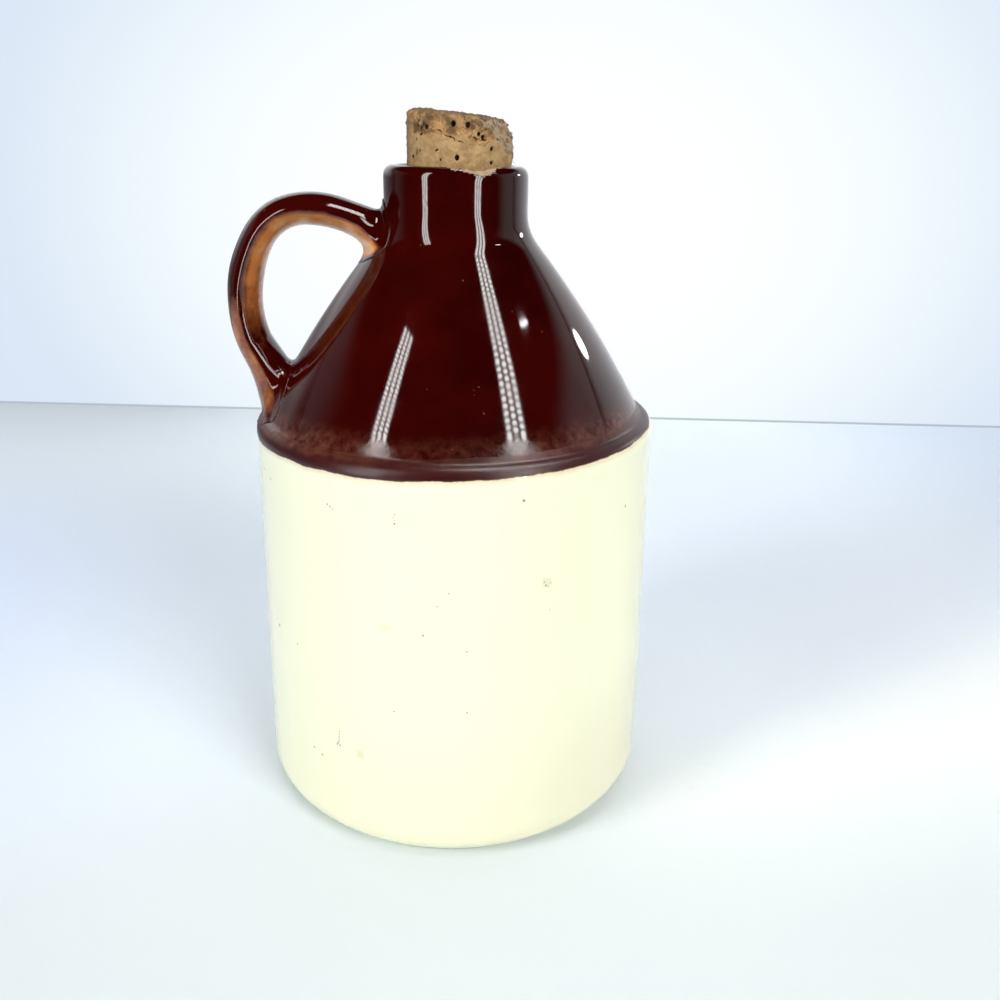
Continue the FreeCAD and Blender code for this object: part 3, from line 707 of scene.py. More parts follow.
def cork_skin(cork, rim):
    """Pores, slits, a worn grain, flaking on the torn face; all are offsets along the surface."""
    points, local, torn = cork_rings(cork, rim)
    along = np.stack([np.gradient(points[..., k], axis=0) for k in range(3)], axis=-1)
    around = np.stack([np.gradient(points[..., k], axis=1) for k in range(3)], axis=-1)
    normal = np.cross(around, along)
    normal /= np.maximum(np.linalg.norm(normal, axis=-1, keepdims=True), 1e-12)
    outward = points - np.array([0.0, 0.0, rim])
    normal *= np.sign((normal * outward).sum(-1, keepdims=True))
    shown = ease((points[..., 2] - rim + 1.0 * MM) / (1.5 * MM))
    face = ease(torn / (0.7 * MM) + 0.3 + 0.35 * rough(points, 1.3 * MM, 72))
    depth = np.zeros(face.shape)
    front = np.arctan2(local[..., 0], -local[..., 1])
    side_radius = np.maximum(np.hypot(local[..., 0], local[..., 1]), 1e-6)
    # dark: how far a point lies in a pore or a slit; there it gets the pores' dark cork and
    # painted shade
    dark = np.zeros(face.shape)
    on_side = ease((side_radius - 11.2 * MM) / (0.6 * MM))
    for turn, high, size in PORES:
        across = wrapped(front - math.radians(turn)) * side_radius
        gap = np.hypot(across, (local[..., 2] - high * MM) * 0.85) / (size * MM)
        hole = (1 - ease((gap - 0.45) / 0.65)) * on_side
        depth = np.maximum(depth, hole * cork.pore_depth)
        dark = np.maximum(dark, (1 - ease((gap - 0.7) / 0.5)) * on_side)
    ragged = rough(points, 1.6 * MM, 64)
    for turn, high, half, wide, slope in SLITS:
        u = wrapped(front - math.radians(turn)) * side_radius
        v = local[..., 2] - high * MM
        c, s = math.cos(math.radians(slope)), math.sin(math.radians(slope))
        ahead = (u * c + v * s) / (half * MM)
        beside = (-u * s + v * c + 0.18 * MM * ragged) / (wide * MM)
        gap = np.sqrt(ahead ** 2 + (beside / np.sqrt(np.clip(1.05 - ahead ** 2, 0.05, 1))) ** 2)
        cut = (1 - ease((gap - 0.35) / 0.75)) * (np.abs(ahead) < 1.1) * on_side
        depth = np.maximum(depth, cut * 0.55 * MM)
        dark = np.maximum(dark, 0.85 * cut)
    upper = ease((local[..., 2] - 12.6 * MM - 0.7 * MM * waves(points, 6 * MM, 62)) / (0.8 * MM))
    upper = upper * (1 - face)
    grain = 0.05 * MM * rough(points, 1.1 * MM, 61)
    flaked = upper * (0.16 * MM * rough(points, 2.6 * MM, 63) + 0.14 * MM)
    shreds = face * (0.30 * MM * np.abs(rough(points, 1.5 * MM, 65)) - 0.24 * MM
                     + 0.12 * MM * rough(points, 0.7 * MM, 66, 2) - 0.16 * MM * ragged)
    offset = (grain - flaked + shreds - depth) * shown
    points = points + normal * offset[..., None]
    value = 0.5 + 0.28 * rough(points, 3.0 * MM, 67)
    top = points[-1].mean(axis=0)
    low = points[0].mean(axis=0) - (0.0, 0.0, 2.0 * MM)
    return skin(points, low, top, torn=face, pore=np.clip(dark, 0, 1), upper=upper,
                grain=np.clip(value, 0, 1))


def plug_skin(jug, rim):
    """Plug from just below the lip to the seat: narrows as the mouth does, with flat ends."""
    clearance = 0.1 * MM
    mouth = jug.neck_radius - 2 * jug.lip_round - clearance
    heights = rim - np.linspace(jug.lip_round + 0.5 * MM, jug.mouth_depth, PLUG_ROWS)
    side = mouth - (rim - jug.lip_round - heights) * math.tan(jug.mouth_taper)
    radius = np.r_[side[0] * 0.5, side[0] * 0.93, side, side[-1] * 0.5]
    heights = np.r_[heights[0], heights[0], heights, heights[-1]]
    turn = np.linspace(0, 2 * np.pi, PLUG_AROUND, endpoint=False)
    rings = np.stack([radius[:, None] * np.cos(turn), radius[:, None] * np.sin(turn),
                      np.broadcast_to(heights[:, None], (len(radius), len(turn)))], axis=-1)
    plain = np.zeros(rings.shape[:2])
    return skin(rings, rings[0].mean(axis=0), rings[-1].mean(axis=0), torn=plain, pore=plain,
                upper=plain, grain=plain + 0.5)


def fibre_skins(cork, rim):
    """Short fibres that stand off the torn face: a three-sided spike along a bent line."""
    rng = np.random.default_rng(7)
    facing = np.array([math.cos(cork.break_turn), -math.sin(cork.break_turn), 0.0])
    across = np.array([math.sin(cork.break_turn), math.cos(cork.break_turn), 0.0])
    skins = []
    for _ in range(FIBRES):
        share = rng.uniform(0.0, 1.0)
        out = 8.8 + share * 4.6
        high = rim + (10.4 - share * 9.0 + rng.uniform(-0.3, 0.3)) * MM
        aside = rng.uniform(-0.85, 0.85) * math.sqrt(max(12.6 ** 2 - out ** 2, 4.0))
        start = facing * (out - 0.5) * MM + across * aside * MM + (0.0, 0.0, high)
        way = facing * rng.uniform(0.6, 1.0) + across * rng.uniform(-0.7, 0.7)
        way = unit(way + np.array([0.0, 0.0, rng.uniform(-0.5, 0.6)]))
        bend = np.array([0.0, 0.0, rng.uniform(-0.25, 0.45)])
        t = np.linspace(0, 1, 6)[:, None]
        size = rng.uniform(0.9, 2.1) * MM
        centre = start + (way * t + bend * t ** 2) * size
        thick = (1 - t) ** 0.7 * rng.uniform(0.06, 0.14) * MM
        side = unit(np.cross(way, (0.0, 0.0, 1.0)))
        other = np.cross(way, side)
        corner = np.radians([90, 210, 330])
        ring = side * np.cos(corner)[:, None] + other * np.sin(corner)[:, None]
        rings = centre[:-1, None, :] + ring[None] * thick[:-1, :, None]
        flat = np.full(rings.shape[:2], 1.0)
        skins.append(skin(rings, centre[0], centre[-1], torn=flat, pore=flat * 0.0,
                          upper=flat * 0.0, grain=flat * rng.uniform(0.4, 0.8)))
    return skins


# ---------------------------------------------------------------- shader nodes

class Value:
    """Output of a shader node; a sign of arithmetic places the maths node for it."""

    def __init__(self, nodes, socket):
        self.nodes = nodes
        self.socket = socket

    def __add__(self, other):
        return self.nodes.math("ADD", self, other)

    def __sub__(self, other):
        return self.nodes.math("SUBTRACT", self, other)

    def __rsub__(self, other):
        return self.nodes.math("SUBTRACT", other, self)

    def __mul__(self, other):
        return self.nodes.math("MULTIPLY", self, other)

    def __abs__(self):
        return self.nodes.math("ABSOLUTE", self)


class Nodes:
    """Short ways to place and join the shader nodes of a material or a world."""

    def __init__(self, owner):
        owner.use_nodes = True
        self.owner = owner
        self.tree = owner.node_tree
        self.shader = self.tree.nodes.get("Principled BSDF")

    def put(self, value, socket):
        """Joins a node's output to a socket, or sets the socket; a colour gets full alpha."""
        if isinstance(value, Value):
            self.tree.links.new(value.socket, socket)
        elif hasattr(value, "__len__") and len(socket.default_value) == 4:
            socket.default_value = (*value, 1.0)
        else:
            socket.default_value = value

    def add(self, kind, output=0, **inputs):
        """Places a node; a key is a socket's name, in_ with its number, or a setting."""
        node = self.tree.nodes.new(kind)
        for key, value in inputs.items():
            if key in node.inputs:
                self.put(value, node.inputs[key])
            elif key.startswith("in_"):
                self.put(value, node.inputs[int(key[3:])])
            else:
                setattr(node, key, value)
        return Value(self, node.outputs[output])

    def math(self, operation, a, b=0.0, clamp=False):
        """One operation on one or two values, kept within 0 and 1 when clamp is set."""
        return self.add("ShaderNodeMath", operation=operation, in_0=a, in_1=b, use_clamp=clamp)

    def most(self, a, b):
        """The larger of two values."""
        return self.math("MAXIMUM", a, b)

    def place(self, output=3):
        """A place, whole and as x, y and z: in the object, unless another output is named."""
        where = self.add("ShaderNodeTexCoord", output)
        apart = self.tree.nodes.new("ShaderNodeSeparateXYZ")
        self.put(where, apart.inputs[0])
        return where, *(Value(self, socket) for socket in apart.outputs)

    def length(self, x, y):
        """Distance of the flat place (x, y) from its middle."""
        flat = self.add("ShaderNodeCombineXYZ", X=x, Y=y)
        return self.add("ShaderNodeVectorMath", 1, operation="LENGTH", in_0=flat)

    def mix(self, share, a, b):
        """Colour a where the share is 0, colour b where it is 1."""
        node = self.tree.nodes.new("ShaderNodeMix")
        node.data_type = "RGBA"
        for index, entry in ((0, share), (6, a), (7, b)):
            self.put(entry, node.inputs[index])
        return Value(self, node.outputs[2])

    def step(self, value, low, high, to_low=0.0, to_high=1.0):
        """Eases from one level to another while the value goes from low to high."""
        node = self.tree.nodes.new("ShaderNodeMapRange")
        node.interpolation_type = "SMOOTHSTEP"
        for index, entry in enumerate((value, low, high, to_low, to_high)):
            self.put(entry, node.inputs[index])
        return Value(self, node.outputs[0])

    def noise(self, where, scale, detail=3.0, roughness=0.5, distortion=0.0):
        """Soft grain, about 1/scale metres from lump to lump."""
        return self.add("ShaderNodeTexNoise", Vector=where, Scale=scale, Detail=detail,
                        Roughness=roughness, Distortion=distortion)

    def dots(self, where, scale):
        """Distance to the nearest of scattered dots, about 1/scale metres apart."""
        return self.add("ShaderNodeTexVoronoi", Vector=where, Scale=scale)

    def kept(self, name):
        """Value that the piece keeps on its points."""
        return self.add("ShaderNodeAttribute", 2, attribute_name=name)

    def bump(self, height, strength, distance, **under):
        """Relief from a height, on top of the relief that is given as Normal."""
        return self.add("ShaderNodeBump", Height=height, Strength=strength, Distance=distance,
                        **under)

    def glow(self, colour, strength):
        """Plain light in place of the surface; gives the material."""
        light = self.add("ShaderNodeEmission", Color=colour, Strength=strength)
        self.put(light, self.tree.nodes["Material Output"].inputs[0])
        return self.owner


# ---------------------------------------------------------------- finishes

# Marks in the pale glaze: turn from the front towards +X in degrees, height in mm, radius in mm,
# strength
MARKS = [
    (-33.5, 90.9, 0.35, 0.5), (-15.3, 91.6, 0.28, 0.6), (-15.3, 89.5, 0.34, 0.6),
    (-60.0, 52.3, 0.50, 0.8), (-49.1, 51.4, 0.28, 0.5), (-1.8, 73.6, 0.30, 0.5),
    (-4.8, 70.3, 0.26, 0.5), (-8.4, 62.9, 0.30, 0.6), (2.7, 59.0, 0.26, 0.5),
    (2.8, 42.9, 0.26, 0.5), (16.8, 94.7, 0.40, 0.6), (24.8, 67.1, 0.24, 0.5),
    (52.4, 86.6, 0.40, 0.6), (-16.4, 42.1, 0.30, 0.5), (-40.2, 23.2, 0.30, 0.6),
    (-43.5, 24.1, 0.34, 0.6), (-60.5, 91.2, 0.36, 0.6), (-65.8, 92.3, 0.44, 0.6),
    (100.0, 61.0, 0.40, 0.6), (128.0, 34.0, 0.50, 0.7), (155.0, 78.0, 0.35, 0.6),
    (-150.0, 49.0, 0.45, 0.7), (-118.0, 71.0, 0.35, 0.6), (-100.0, 28.0, 0.40, 0.6),
]

# Short scratches and a hook, each a row of small marks
SCRATCHES = [
    (-33.3, 32.4, 0.23, 0.60), (-33.4, 31.6, 0.24, 0.60), (-33.5, 30.8, 0.25, 0.60),
    (-33.6, 30.0, 0.25, 0.60), (-33.8, 29.2, 0.27, 0.70), (-34.2, 28.6, 0.29, 0.70),
    (-33.3, 28.5, 0.27, 0.60), (22.8, 75.2, 0.26, 0.23), (23.0, 74.3, 0.30, 0.33),
    (23.5, 73.4, 0.34, 0.43), (24.2, 73.0, 0.30, 0.33), (24.8, 73.8, 0.26, 0.23),
    (25.0, 74.8, 0.24, 0.13), (-34.4, 91.3, 0.31, 0.70), (-32.8, 90.5, 0.29, 0.70),
    (-15.6, 91.0, 0.23, 0.60), (-15.2, 90.3, 0.23, 0.60),
]

# Yellowish stains: turn, height, radius in mm, strength
STAINS = [
    (23.8, 74.0, 1.3, 0.22), (-18.3, 63.9, 1.4, 0.20), (-26.7, 27.9, 1.5, 0.26),
    (140.0, 55.0, 2.2, 0.25), (-135.0, 83.0, 1.8, 0.22),
]


def on_side(turn, height, jug):
    """Place on the jug's side at a turn from the front and a height in mm."""
    share = height * MM / jug.side_height
    radius = jug.base_radius + (jug.shoulder_radius - jug.base_radius) * share
    return (radius * math.sin(math.radians(turn)), -radius * math.cos(math.radians(turn)),
            height * MM)


def spots(n, where, ragged, places, jug, gain):
    """Largest of round fades about places on the side; a noise on the distance frays them."""
    total = 0.0
    for turn, height, size, strength in places:
        gap = n.add("ShaderNodeVectorMath", 1, operation="DISTANCE", in_0=where,
                    in_1=on_side(turn, height, jug))
        frayed = ragged * (1.2 * size * MM) + gap
        spot = n.step(frayed, size * MM * 1.80, size * MM * 1.10, 0.0, min(1.0, gain * strength))
        total = n.most(total, spot)
    return total


def dark_glaze_tone(n, look, at):
    """Nearly black where thick, redder to the left as painted light, rusty on the ledge, amber
    where thin.
    """
    ledge_rust = (0.185, 0.062, 0.036)
    fleck_brown = (0.240, 0.100, 0.060)
    drift = n.step(at.slow + at.cloud * 0.35, 0.50, 0.88, 0.0, 0.6)
    # painted light: the dark glaze turns redder towards -X, the side that takes more light
    lit_from_left = n.step(at.x, 0.012, -0.040, 0.0, 0.55)
    tone = n.mix(drift + lit_from_left, look.dark_glaze, look.red_glaze_and_light)
    ledge = n.step(at.above, 9.5, 4.5) * n.step(at.above, 1.8, 3.6)
    ledge = ledge * n.step(abs(at.x), 0.010, 0.040, 0.35, 1.0)
    patches = n.step(at.mottle * 0.7 + at.cloud * 0.4, 0.38, 0.80, 0.04, 0.84)
    tone = n.mix(ledge * patches, tone, ledge_rust)
    tone = n.mix(n.step(at.above, 0.5, 0.0, 0.0, 0.30), tone, look.rust_glaze)
    run_thin = (at.mottle - 0.5) * 0.34 + at.thin + (at.cloud - 0.5) * 0.30
    run_thin = run_thin * n.step(at.thin, 0.02, 0.12)
    for low, high, colour_there in ((0.08, 0.34, look.rust_glaze), (0.30, 0.72, look.amber_glaze),
                                    (0.72, 1.05, look.tan_glaze)):
        tone = n.mix(n.step(run_thin, low, high), tone, colour_there)
    fleck = n.step(n.dots(at.where, 420.0), 0.10, 0.05) * n.step(at.cloud, 0.56, 0.66, 0.0, 0.5)
    return n.mix(fleck, tone, fleck_brown)


def pale_glaze_tone(n, look, jug, at):
    """Cream, yellower at the foot and to the right of it, with marks and a warm upper edge."""
    second_cream = (0.935, 0.930, 0.690)
    foot_cream = (0.900, 0.870, 0.590)
    shaded_cream = (0.830, 0.780, 0.590)
    warm_edge = (0.760, 0.540, 0.330)
    tone = n.mix(n.step(at.slow, 0.45, 0.75, 0.0, 0.5), look.pale_glaze, second_cream)
    tone = n.mix(n.step(at.z, 0.045, 0.005, 0.0, 0.50), tone, foot_cream)
    low_right = n.step(at.x, 0.0, 0.04, 0.0, 0.60) * n.step(at.z, 0.050, 0.012)
    tone = n.mix(low_right, tone, shaded_cream)
    grime = n.step(at.mottle, 0.60, 0.80, 0.0, 0.10) * n.step(at.cloud, 0.52, 0.70)
    tone = n.mix(grime, tone, look.stain)
    tone = n.mix(spots(n, at.where, at.mottle, STAINS, jug, 1.1), tone, look.stain)
    tone = n.mix(at.marks, tone, look.speck)
    halo = n.step(at.above, -1.5, 0.0, 0.0, 0.75) * (at.cloud * 0.8 + 0.25)
    return n.mix(halo, tone, warm_edge)


def glazed_stoneware(look, jug):
    """Dark glaze above, pale glaze below, bare clay in the chip and under the foot."""
    sandy_clay = (0.360, 0.245, 0.150)
    deep_clay = (0.180, 0.090, 0.055)
    n = Nodes(bpy.data.materials.new("glazed stoneware"))
    where, x, y, z = n.place()
    thin = n.kept("thin")
    cloud = n.noise(where, 130.0, 4.0, 0.6)
    mottle = n.noise(where, 520.0, 6.0, 0.65)
    fine = n.noise(where, 1500.0, 4.0, 0.6)

    # height above the wavering edge of the dark glaze, in mm
    line = x * jug.line_rise + jug.line_height
    waver = n.noise(where, 62.0, 2.0) * 0.0016 - 0.0008
    above = (z - line + waver + (mottle * 0.0006 - 0.0003)) * 1000.0
    dark = n.step(above, -0.12, 0.16)
    marks = spots(n, where, mottle, MARKS + SCRATCHES, jug, 1.5)
    at = SimpleNamespace(where=where, x=x, z=z, above=above, thin=thin, marks=marks,
                         slow=n.noise(where, 45.0, 3.0), cloud=cloud, mottle=mottle)
    surface = n.mix(dark, pale_glaze_tone(n, look, jug, at), dark_glaze_tone(n, look, at))

    # bare clay: in the chip, and in a ring under the foot where the glaze is wiped off
    clay = n.mix(n.step(mottle, 0.35, 0.70), look.clay, sandy_clay)
    clay = n.mix(n.step(fine, 0.55, 0.75, 0.0, 0.5), clay, deep_clay)
    chip = n.step((mottle - 0.5) * 0.30 + n.kept("broken"), -0.02, 0.07)
    wiped = (cloud - 0.5) * 0.0030 + n.length(x, y)
    bare = n.most(chip, n.step(z, 0.0009, 0.0004) * n.step(wiped, 0.0462, 0.0454))
    n.put(n.mix(bare, surface, clay), n.shader.inputs["Base Color"])

    # glossy, a little duller in spots, where the glaze is thin and where the side is marked;
    # satin on the ledge
    gloss = n.step(cloud, 0.3, 0.8, 0.035, 0.075) + n.step(mottle, 0.62, 0.80, 0.0, 0.05)
    gloss = gloss + n.step(thin, 0.2, 0.9, 0.0, 0.10)
    satin = n.step(above, 7.0, 5.0) * n.step(mottle, 0.30, 0.75, 0.02, 0.15)
    satin = n.most(satin, n.step(above, 4.4, 3.6, 0.0, 0.30)) * dark
    gloss = gloss + satin + marks * 0.35
    n.put(n.math("ADD", bare * 0.78, gloss, clamp=True), n.shader.inputs["Roughness"])
    n.shader.inputs["IOR"].default_value = 1.5

    # relief: slight waves, pinholes, grain in the clay, on the ledge and in thin glaze
    relief = n.bump(n.noise(where, 210.0, 2.0, 0.5), 0.007, 0.0010)
    pinholes = n.step(n.dots(where, 330.0), 0.075, 0.0) * n.step(cloud, 0.50, 0.62)
    relief = n.bump(pinholes, 0.22, -0.0004, Normal=relief)
    relief = n.bump(fine * bare, 0.9, 0.0006, Normal=relief)
    scratchy = n.step(above, 8.0, 4.5) * n.step(above, 2.5, 4.5, 0.0, 0.9)
    grainy = mottle * n.most(n.step(thin, 0.05, 0.6), scratchy)
    n.put(n.bump(grainy, 0.18, 0.0004, Normal=relief), n.shader.inputs["Normal"])
    return n.owner


def cork_bark(look, cork, rim):
    """Cork: light smooth part, darker upper band, greyer torn face, dark pores with painted shade
    in pores and slits.
    """
    warm_cork = (0.560, 0.320, 0.125)
    torn_cork = (0.520, 0.350, 0.190)
    shaded_cork = (0.200, 0.130, 0.075)
    top_edge_cork = (0.110, 0.068, 0.040)
    bright_grain = (0.620, 0.470, 0.280)
    n = Nodes(bpy.data.materials.new("cork"))
    where, x, _, z = n.place()
    upper = n.kept("upper")
    grain = n.kept("grain")
    cloud = n.noise(where, 230.0, 5.0, 0.6)
    mottle = n.noise(where, 900.0, 6.0, 0.7)
    fine = n.noise(where, 2600.0, 4.0, 0.6)
    tone = n.mix(n.step(cloud + grain * 0.4, 0.52, 0.90), look.cork_light, look.cork_mid)
    band = n.mix(n.step(mottle + grain * 0.5, 0.55, 0.95), look.cork_mid, look.cork_dark)
    band = n.mix(n.step(cloud, 0.44, 0.62), band, warm_cork)
    tone = n.mix(upper, tone, band)
    swirl = abs(n.noise(where, 330.0, 3.0, 0.6, 1.2) - 0.5)
    lines = n.step(swirl, 0.030, 0.008) * (upper * 0.62 + 0.08)
    tone = n.mix(lines, tone, look.cork_dark)
    torn = n.mix(n.step(mottle + grain * 0.35, 0.54, 0.86), look.cork_grey, look.cork_dark)
    torn = n.mix(n.step(cloud, 0.45, 0.70, 0.0, 0.6), torn, torn_cork)
    tone = n.mix(n.kept("torn"), tone, torn)
    tone = n.mix(n.step(x, -0.0095, -0.0118, 0.0, 0.85), tone, shaded_cork)
    # darker along the top edge
    top = rim + cork.stand
    crown = n.step(x * math.tan(cork.lean) + z, top - 1.0 * MM, top - 0.1 * MM, 0.0, 0.75)
    tone = n.mix(crown * n.step(cloud, 0.25, 0.50, 0.4, 1.0), tone, top_edge_cork)
    speck = n.step(mottle, 0.58, 0.70) * (upper * 0.45 + 0.30)
    tone = n.mix(speck, tone, look.cork_dark)
    tone = n.mix(n.step(n.dots(where, 1500.0), 0.22, 0.10, 0.0, 0.28), tone, look.cork_dark)
    tone = n.mix(n.step(fine, 0.62, 0.72, 0.0, 0.30), tone, bright_grain)
    # the pores' dark cork and painted shade in pores and slits
    tone = n.mix(n.step(n.kept("pore"), 0.25, 0.85), tone, look.pore)
    n.put(tone, n.shader.inputs["Base Color"])
    n.put(n.step(cloud, 0.3, 0.7, 0.78, 0.94), n.shader.inputs["Roughness"])
    n.shader.inputs["Specular IOR Level"].default_value = 0.3
    n.put(n.bump(mottle * 0.8 + fine * 0.35, 0.8, 0.0006), n.shader.inputs["Normal"])
    return n.owner


# ---------------------------------------------------------------- stage

# What the glowing lamps face, and the middle of the sphere on which the strips lie
LAMPS_FACE = np.array([0.0, 0.0, 0.125])
STRIPS_MIDDLE = np.array([0.0, -0.02, 0.135])
STRIPS_AWAY = 0.50

# Strips: low and high end as turn and height in degrees, width, strength, rows, beads
STRIPS = {
    "Strip_right": ((33.5, -9.0), (60.0, 66.0), 0.085, 11.0, 3, 64),
    "Strip_left": ((-49.5, -9.0), (-54.5, 50.0), 0.074, 11.0, 3, 64),
    "Strip_high": ((96.0, 59.0), (165.0, 84.0), 0.150, 14.0, 6, 26),
}

# Round lamps: middle, two radii, lean in degrees, strength
PORTS = {
    "Port_right": ((0.383, 0.216, 0.269), (0.031, 0.0185), -24.0, 22.0),
    "Port_high": ((0.327, -0.083, 0.449), (0.030, 0.0050), -21.7, 26.0),
}

# Soft lamps: place, what they point at, size, power in watts
SOFT_LAMPS = {
    "Soft_top": ((0.0, -0.05, 1.1), (0.0, 0.0, 0.05), (0.9, 0.9), 5.0),
    "Soft_left": ((-0.82, -0.52, 0.52), (0.0, 0.0, 0.08), (0.36, 0.45), 6.6),
    "Soft_right": ((0.55, -0.85, 0.60), (0.0, 0.0, 0.08), (0.5, 0.6), 8.5),
}

# The two x at which the stage's settings give the wall's distance, and how far it goes on
WALL_LEFT, WALL_RIGHT, WALL_PAST = -0.2966, 0.3439, 1.0
WALL_HEIGHT, TABLE_FRONT, TABLE_UNDER_WALL = 0.42, 0.95, 0.01


def table_with_painted_light(settings):
    """Pale table: whiter near and to the right as painted light, bluer at its ends as painted
    shade, with a fine grain.
    """
    n = Nodes(bpy.data.materials.new("pale table"))
    where, x, y, _ = n.place()
    grain = n.noise(where, 300.0, 5.0, 0.6)
    # near grows towards the front right, across the edge of the jug's painted shadow
    near = x * 0.56 - y
    ends = n.mix(n.step(x, -0.10, 0.10), (0.620, 0.720, 0.990), (0.560, 0.650, 0.770))
    tone = n.mix(n.noise(where, 9.0, 2.0) * 0.35, settings.table, (0.760, 0.845, 0.935))
    for share, colour_there in (
            # painted light: lighter towards the front right, past the jug's shadow
            (n.step(near, -0.08, 0.12, 0.0, 0.65), (0.880, 0.945, 0.985)),
            # painted light: the sharper edge of that shadow, right of the jug
            (n.step(near, 0.035, 0.075) * n.step(x, 0.02, 0.07), (0.945, 0.975, 0.975)),
            # painted shade: darker and bluer towards both ends
            (n.step(abs(x - 0.05), 0.12, 0.30, 0.0, 0.70), ends),
            # painted light: lighter at the back on the left
            (n.step(x, 0.00, -0.09) * n.step(y, 0.08, 0.28, 0.0, 0.75), (0.890, 0.965, 1.000)),
            # painted shadow: darker to the left front of the jug
            (n.step(x, -0.02, -0.09) * n.step(y, -0.25, -0.10, 0.45, 0.0), (0.700, 0.790, 0.850)),
            # painted shade: darker towards the front
            (n.step(y, 0.01, -0.08, 0.0, 0.80), (0.700, 0.770, 0.790)),
            (n.step(grain, 0.55, 0.80, 0.0, 0.14), (0.680, 0.740, 0.800))):
        tone = n.mix(share, tone, colour_there)
    n.put(tone, n.shader.inputs["Base Color"])
    n.shader.inputs["Roughness"].default_value = 0.55
    n.shader.inputs["Specular IOR Level"].default_value = 0.3
    n.put(n.bump(grain, 0.15, 0.0004), n.shader.inputs["Normal"])
    return n.owner


def wall_with_painted_light(settings):
    """Pale wall that glows for the camera with painted light, whitest in the middle and bluer
    towards its ends, dark at its joint.

    The camera sees that glowing tone as it is; the glaze sees the wall lit by the lamps, with
    painted shade that darkens it at the ends, at the top and low on the left.
    """
    n = Nodes(bpy.data.materials.new("pale wall"))
    _, x, _, z = n.place()
    # painted light for the camera: whitest round the middle, bluer further out
    far = n.length(x - 0.05, (z - 0.12) * 1.4)
    tone = n.mix(n.step(far, 0.08, 0.30), (1.0, 1.0, 1.0), (0.880, 0.980, 1.0))
    tone = n.mix(n.step(far, 0.17, 0.37), tone, settings.wall)
    tone = n.mix(n.step(z, 0.0018, 0.0009, 0.0, 0.75), tone, (0.36, 0.43, 0.50))
    # painted shade for the glaze: dark grey at the ends, at the top and low on the left
    lit = n.step(x, 1.80, 0.45) * n.step(x, -0.90, -0.12) * n.step(z, 0.42, 0.33)
    lit = lit * (1.0 - n.step(x, -0.02, -0.20) * n.step(z, 0.24, 0.14, 0.0, 0.85))
    n.put(n.mix(lit, (0.16, 0.17, 0.18), (0.98, 0.99, 1.0)), n.shader.inputs["Base Color"])
    n.shader.inputs["Roughness"].default_value = 0.8
    n.put(n.add("ShaderNodeMixShader", in_0=n.add("ShaderNodeLightPath"),
                in_1=Value(n, n.shader.outputs[0]),
                in_2=n.add("ShaderNodeEmission", Color=tone, Strength=1.0)),
          n.tree.nodes["Material Output"].inputs[0])
    return n.owner


def flat_panel(name, corners, material):
    """Flat sheet on the stage with any number of corners."""
    mesh = bpy.data.meshes.new(name)
    mesh.from_pydata([tuple(corner) for corner in corners], [], [tuple(range(len(corners)))])
    mesh.materials.append(material)
    item = bpy.data.objects.new(name, mesh)
    bpy.context.scene.collection.objects.link(item)
    return item


def glaze_lamp(name, corners, material):
    """Glowing sheet that shows only as a highlight in the glaze."""
    item = flat_panel(name, corners, material)
    item.visible_diffuse = False
    item.visible_shadow = False
    item.visible_camera = False
    return item


def toward(turn, height):
    """Direction: turn in degrees from the front towards +X, height in degrees above level."""
    turn, height = math.radians(turn), math.radians(height)
    return np.array([math.sin(turn) * math.cos(height), -math.cos(turn) * math.cos(height),
                     math.sin(height)])


def strip_finish(name, strength, rows, beads):
    """Small round beads on a dim board, each row half a bead on from the row before."""
    n = Nodes(bpy.data.materials.new(name))
    _, u, v, _ = n.place(2)
    across = u * float(rows)
    along = v * float(beads) + n.math("FLOOR", across) * 0.5
    far = n.length(n.math("FRACT", across) - 0.5, n.math("FRACT", along) - 0.5)
    return n.glow((1.0, 0.98, 0.96), n.step(far, 0.48, 0.20, strength * 0.22, strength * 1.9))


def strip_lamp(name, low, high, width, strength, rows, beads):
    """Long narrow lamp between two points, its flat side to the jug."""
    middle = (low + high) / 2
    across = unit(np.cross(high - low, LAMPS_FACE - middle)) * width / 2
    item = glaze_lamp(name, [low - across, low + across, high + across, high - across],
                      strip_finish(name, strength, rows, beads))
    layer = item.data.uv_layers.new(name="sheet")
    layer.data.foreach_set("uv", np.array([0, 0, 1, 0, 1, 1, 0, 1], dtype=float))


def disc_lamp(name, middle, radius, lean, strength):
    """Oval lamp that faces the jug, its radius given across and up before it leans.

    A point is the middle plus the two radii times cosine and sine of its turn on the two axes.
    """
    middle = np.array(middle)
    face = unit(LAMPS_FACE - middle)
    side = unit(np.cross(face, (0.0, 0.0, 1.0)))
    up = np.cross(side, face)
    cos, sin = math.cos(math.radians(lean)), math.sin(math.radians(lean))
    side, up = side * cos + up * sin, up * cos - side * sin
    turn = np.linspace(0, 2 * np.pi, 40, endpoint=False)[:, None]
    oval = middle + radius[0] * side * np.cos(turn) + radius[1] * up * np.sin(turn)
    glaze_lamp(name, oval, Nodes(bpy.data.materials.new(name)).glow((1.0, 1.0, 1.0), strength))


def soft_lamp(name, place, target, size, power):
    """Large soft lamp that gives the plain level of light and doesn't show in the glaze."""
    lamp = bpy.data.lights.new(name, "AREA")
    lamp.shape = "RECTANGLE"
    lamp.size, lamp.size_y = size
    lamp.energy = power
    item = bpy.data.objects.new(name, lamp)
    item.location = place
    item.rotation_euler = (Vector(target) - Vector(place)).to_track_quat("-Z", "Y").to_euler()
    item.visible_glossy = False
    item.visible_camera = False
    bpy.context.scene.collection.objects.link(item)


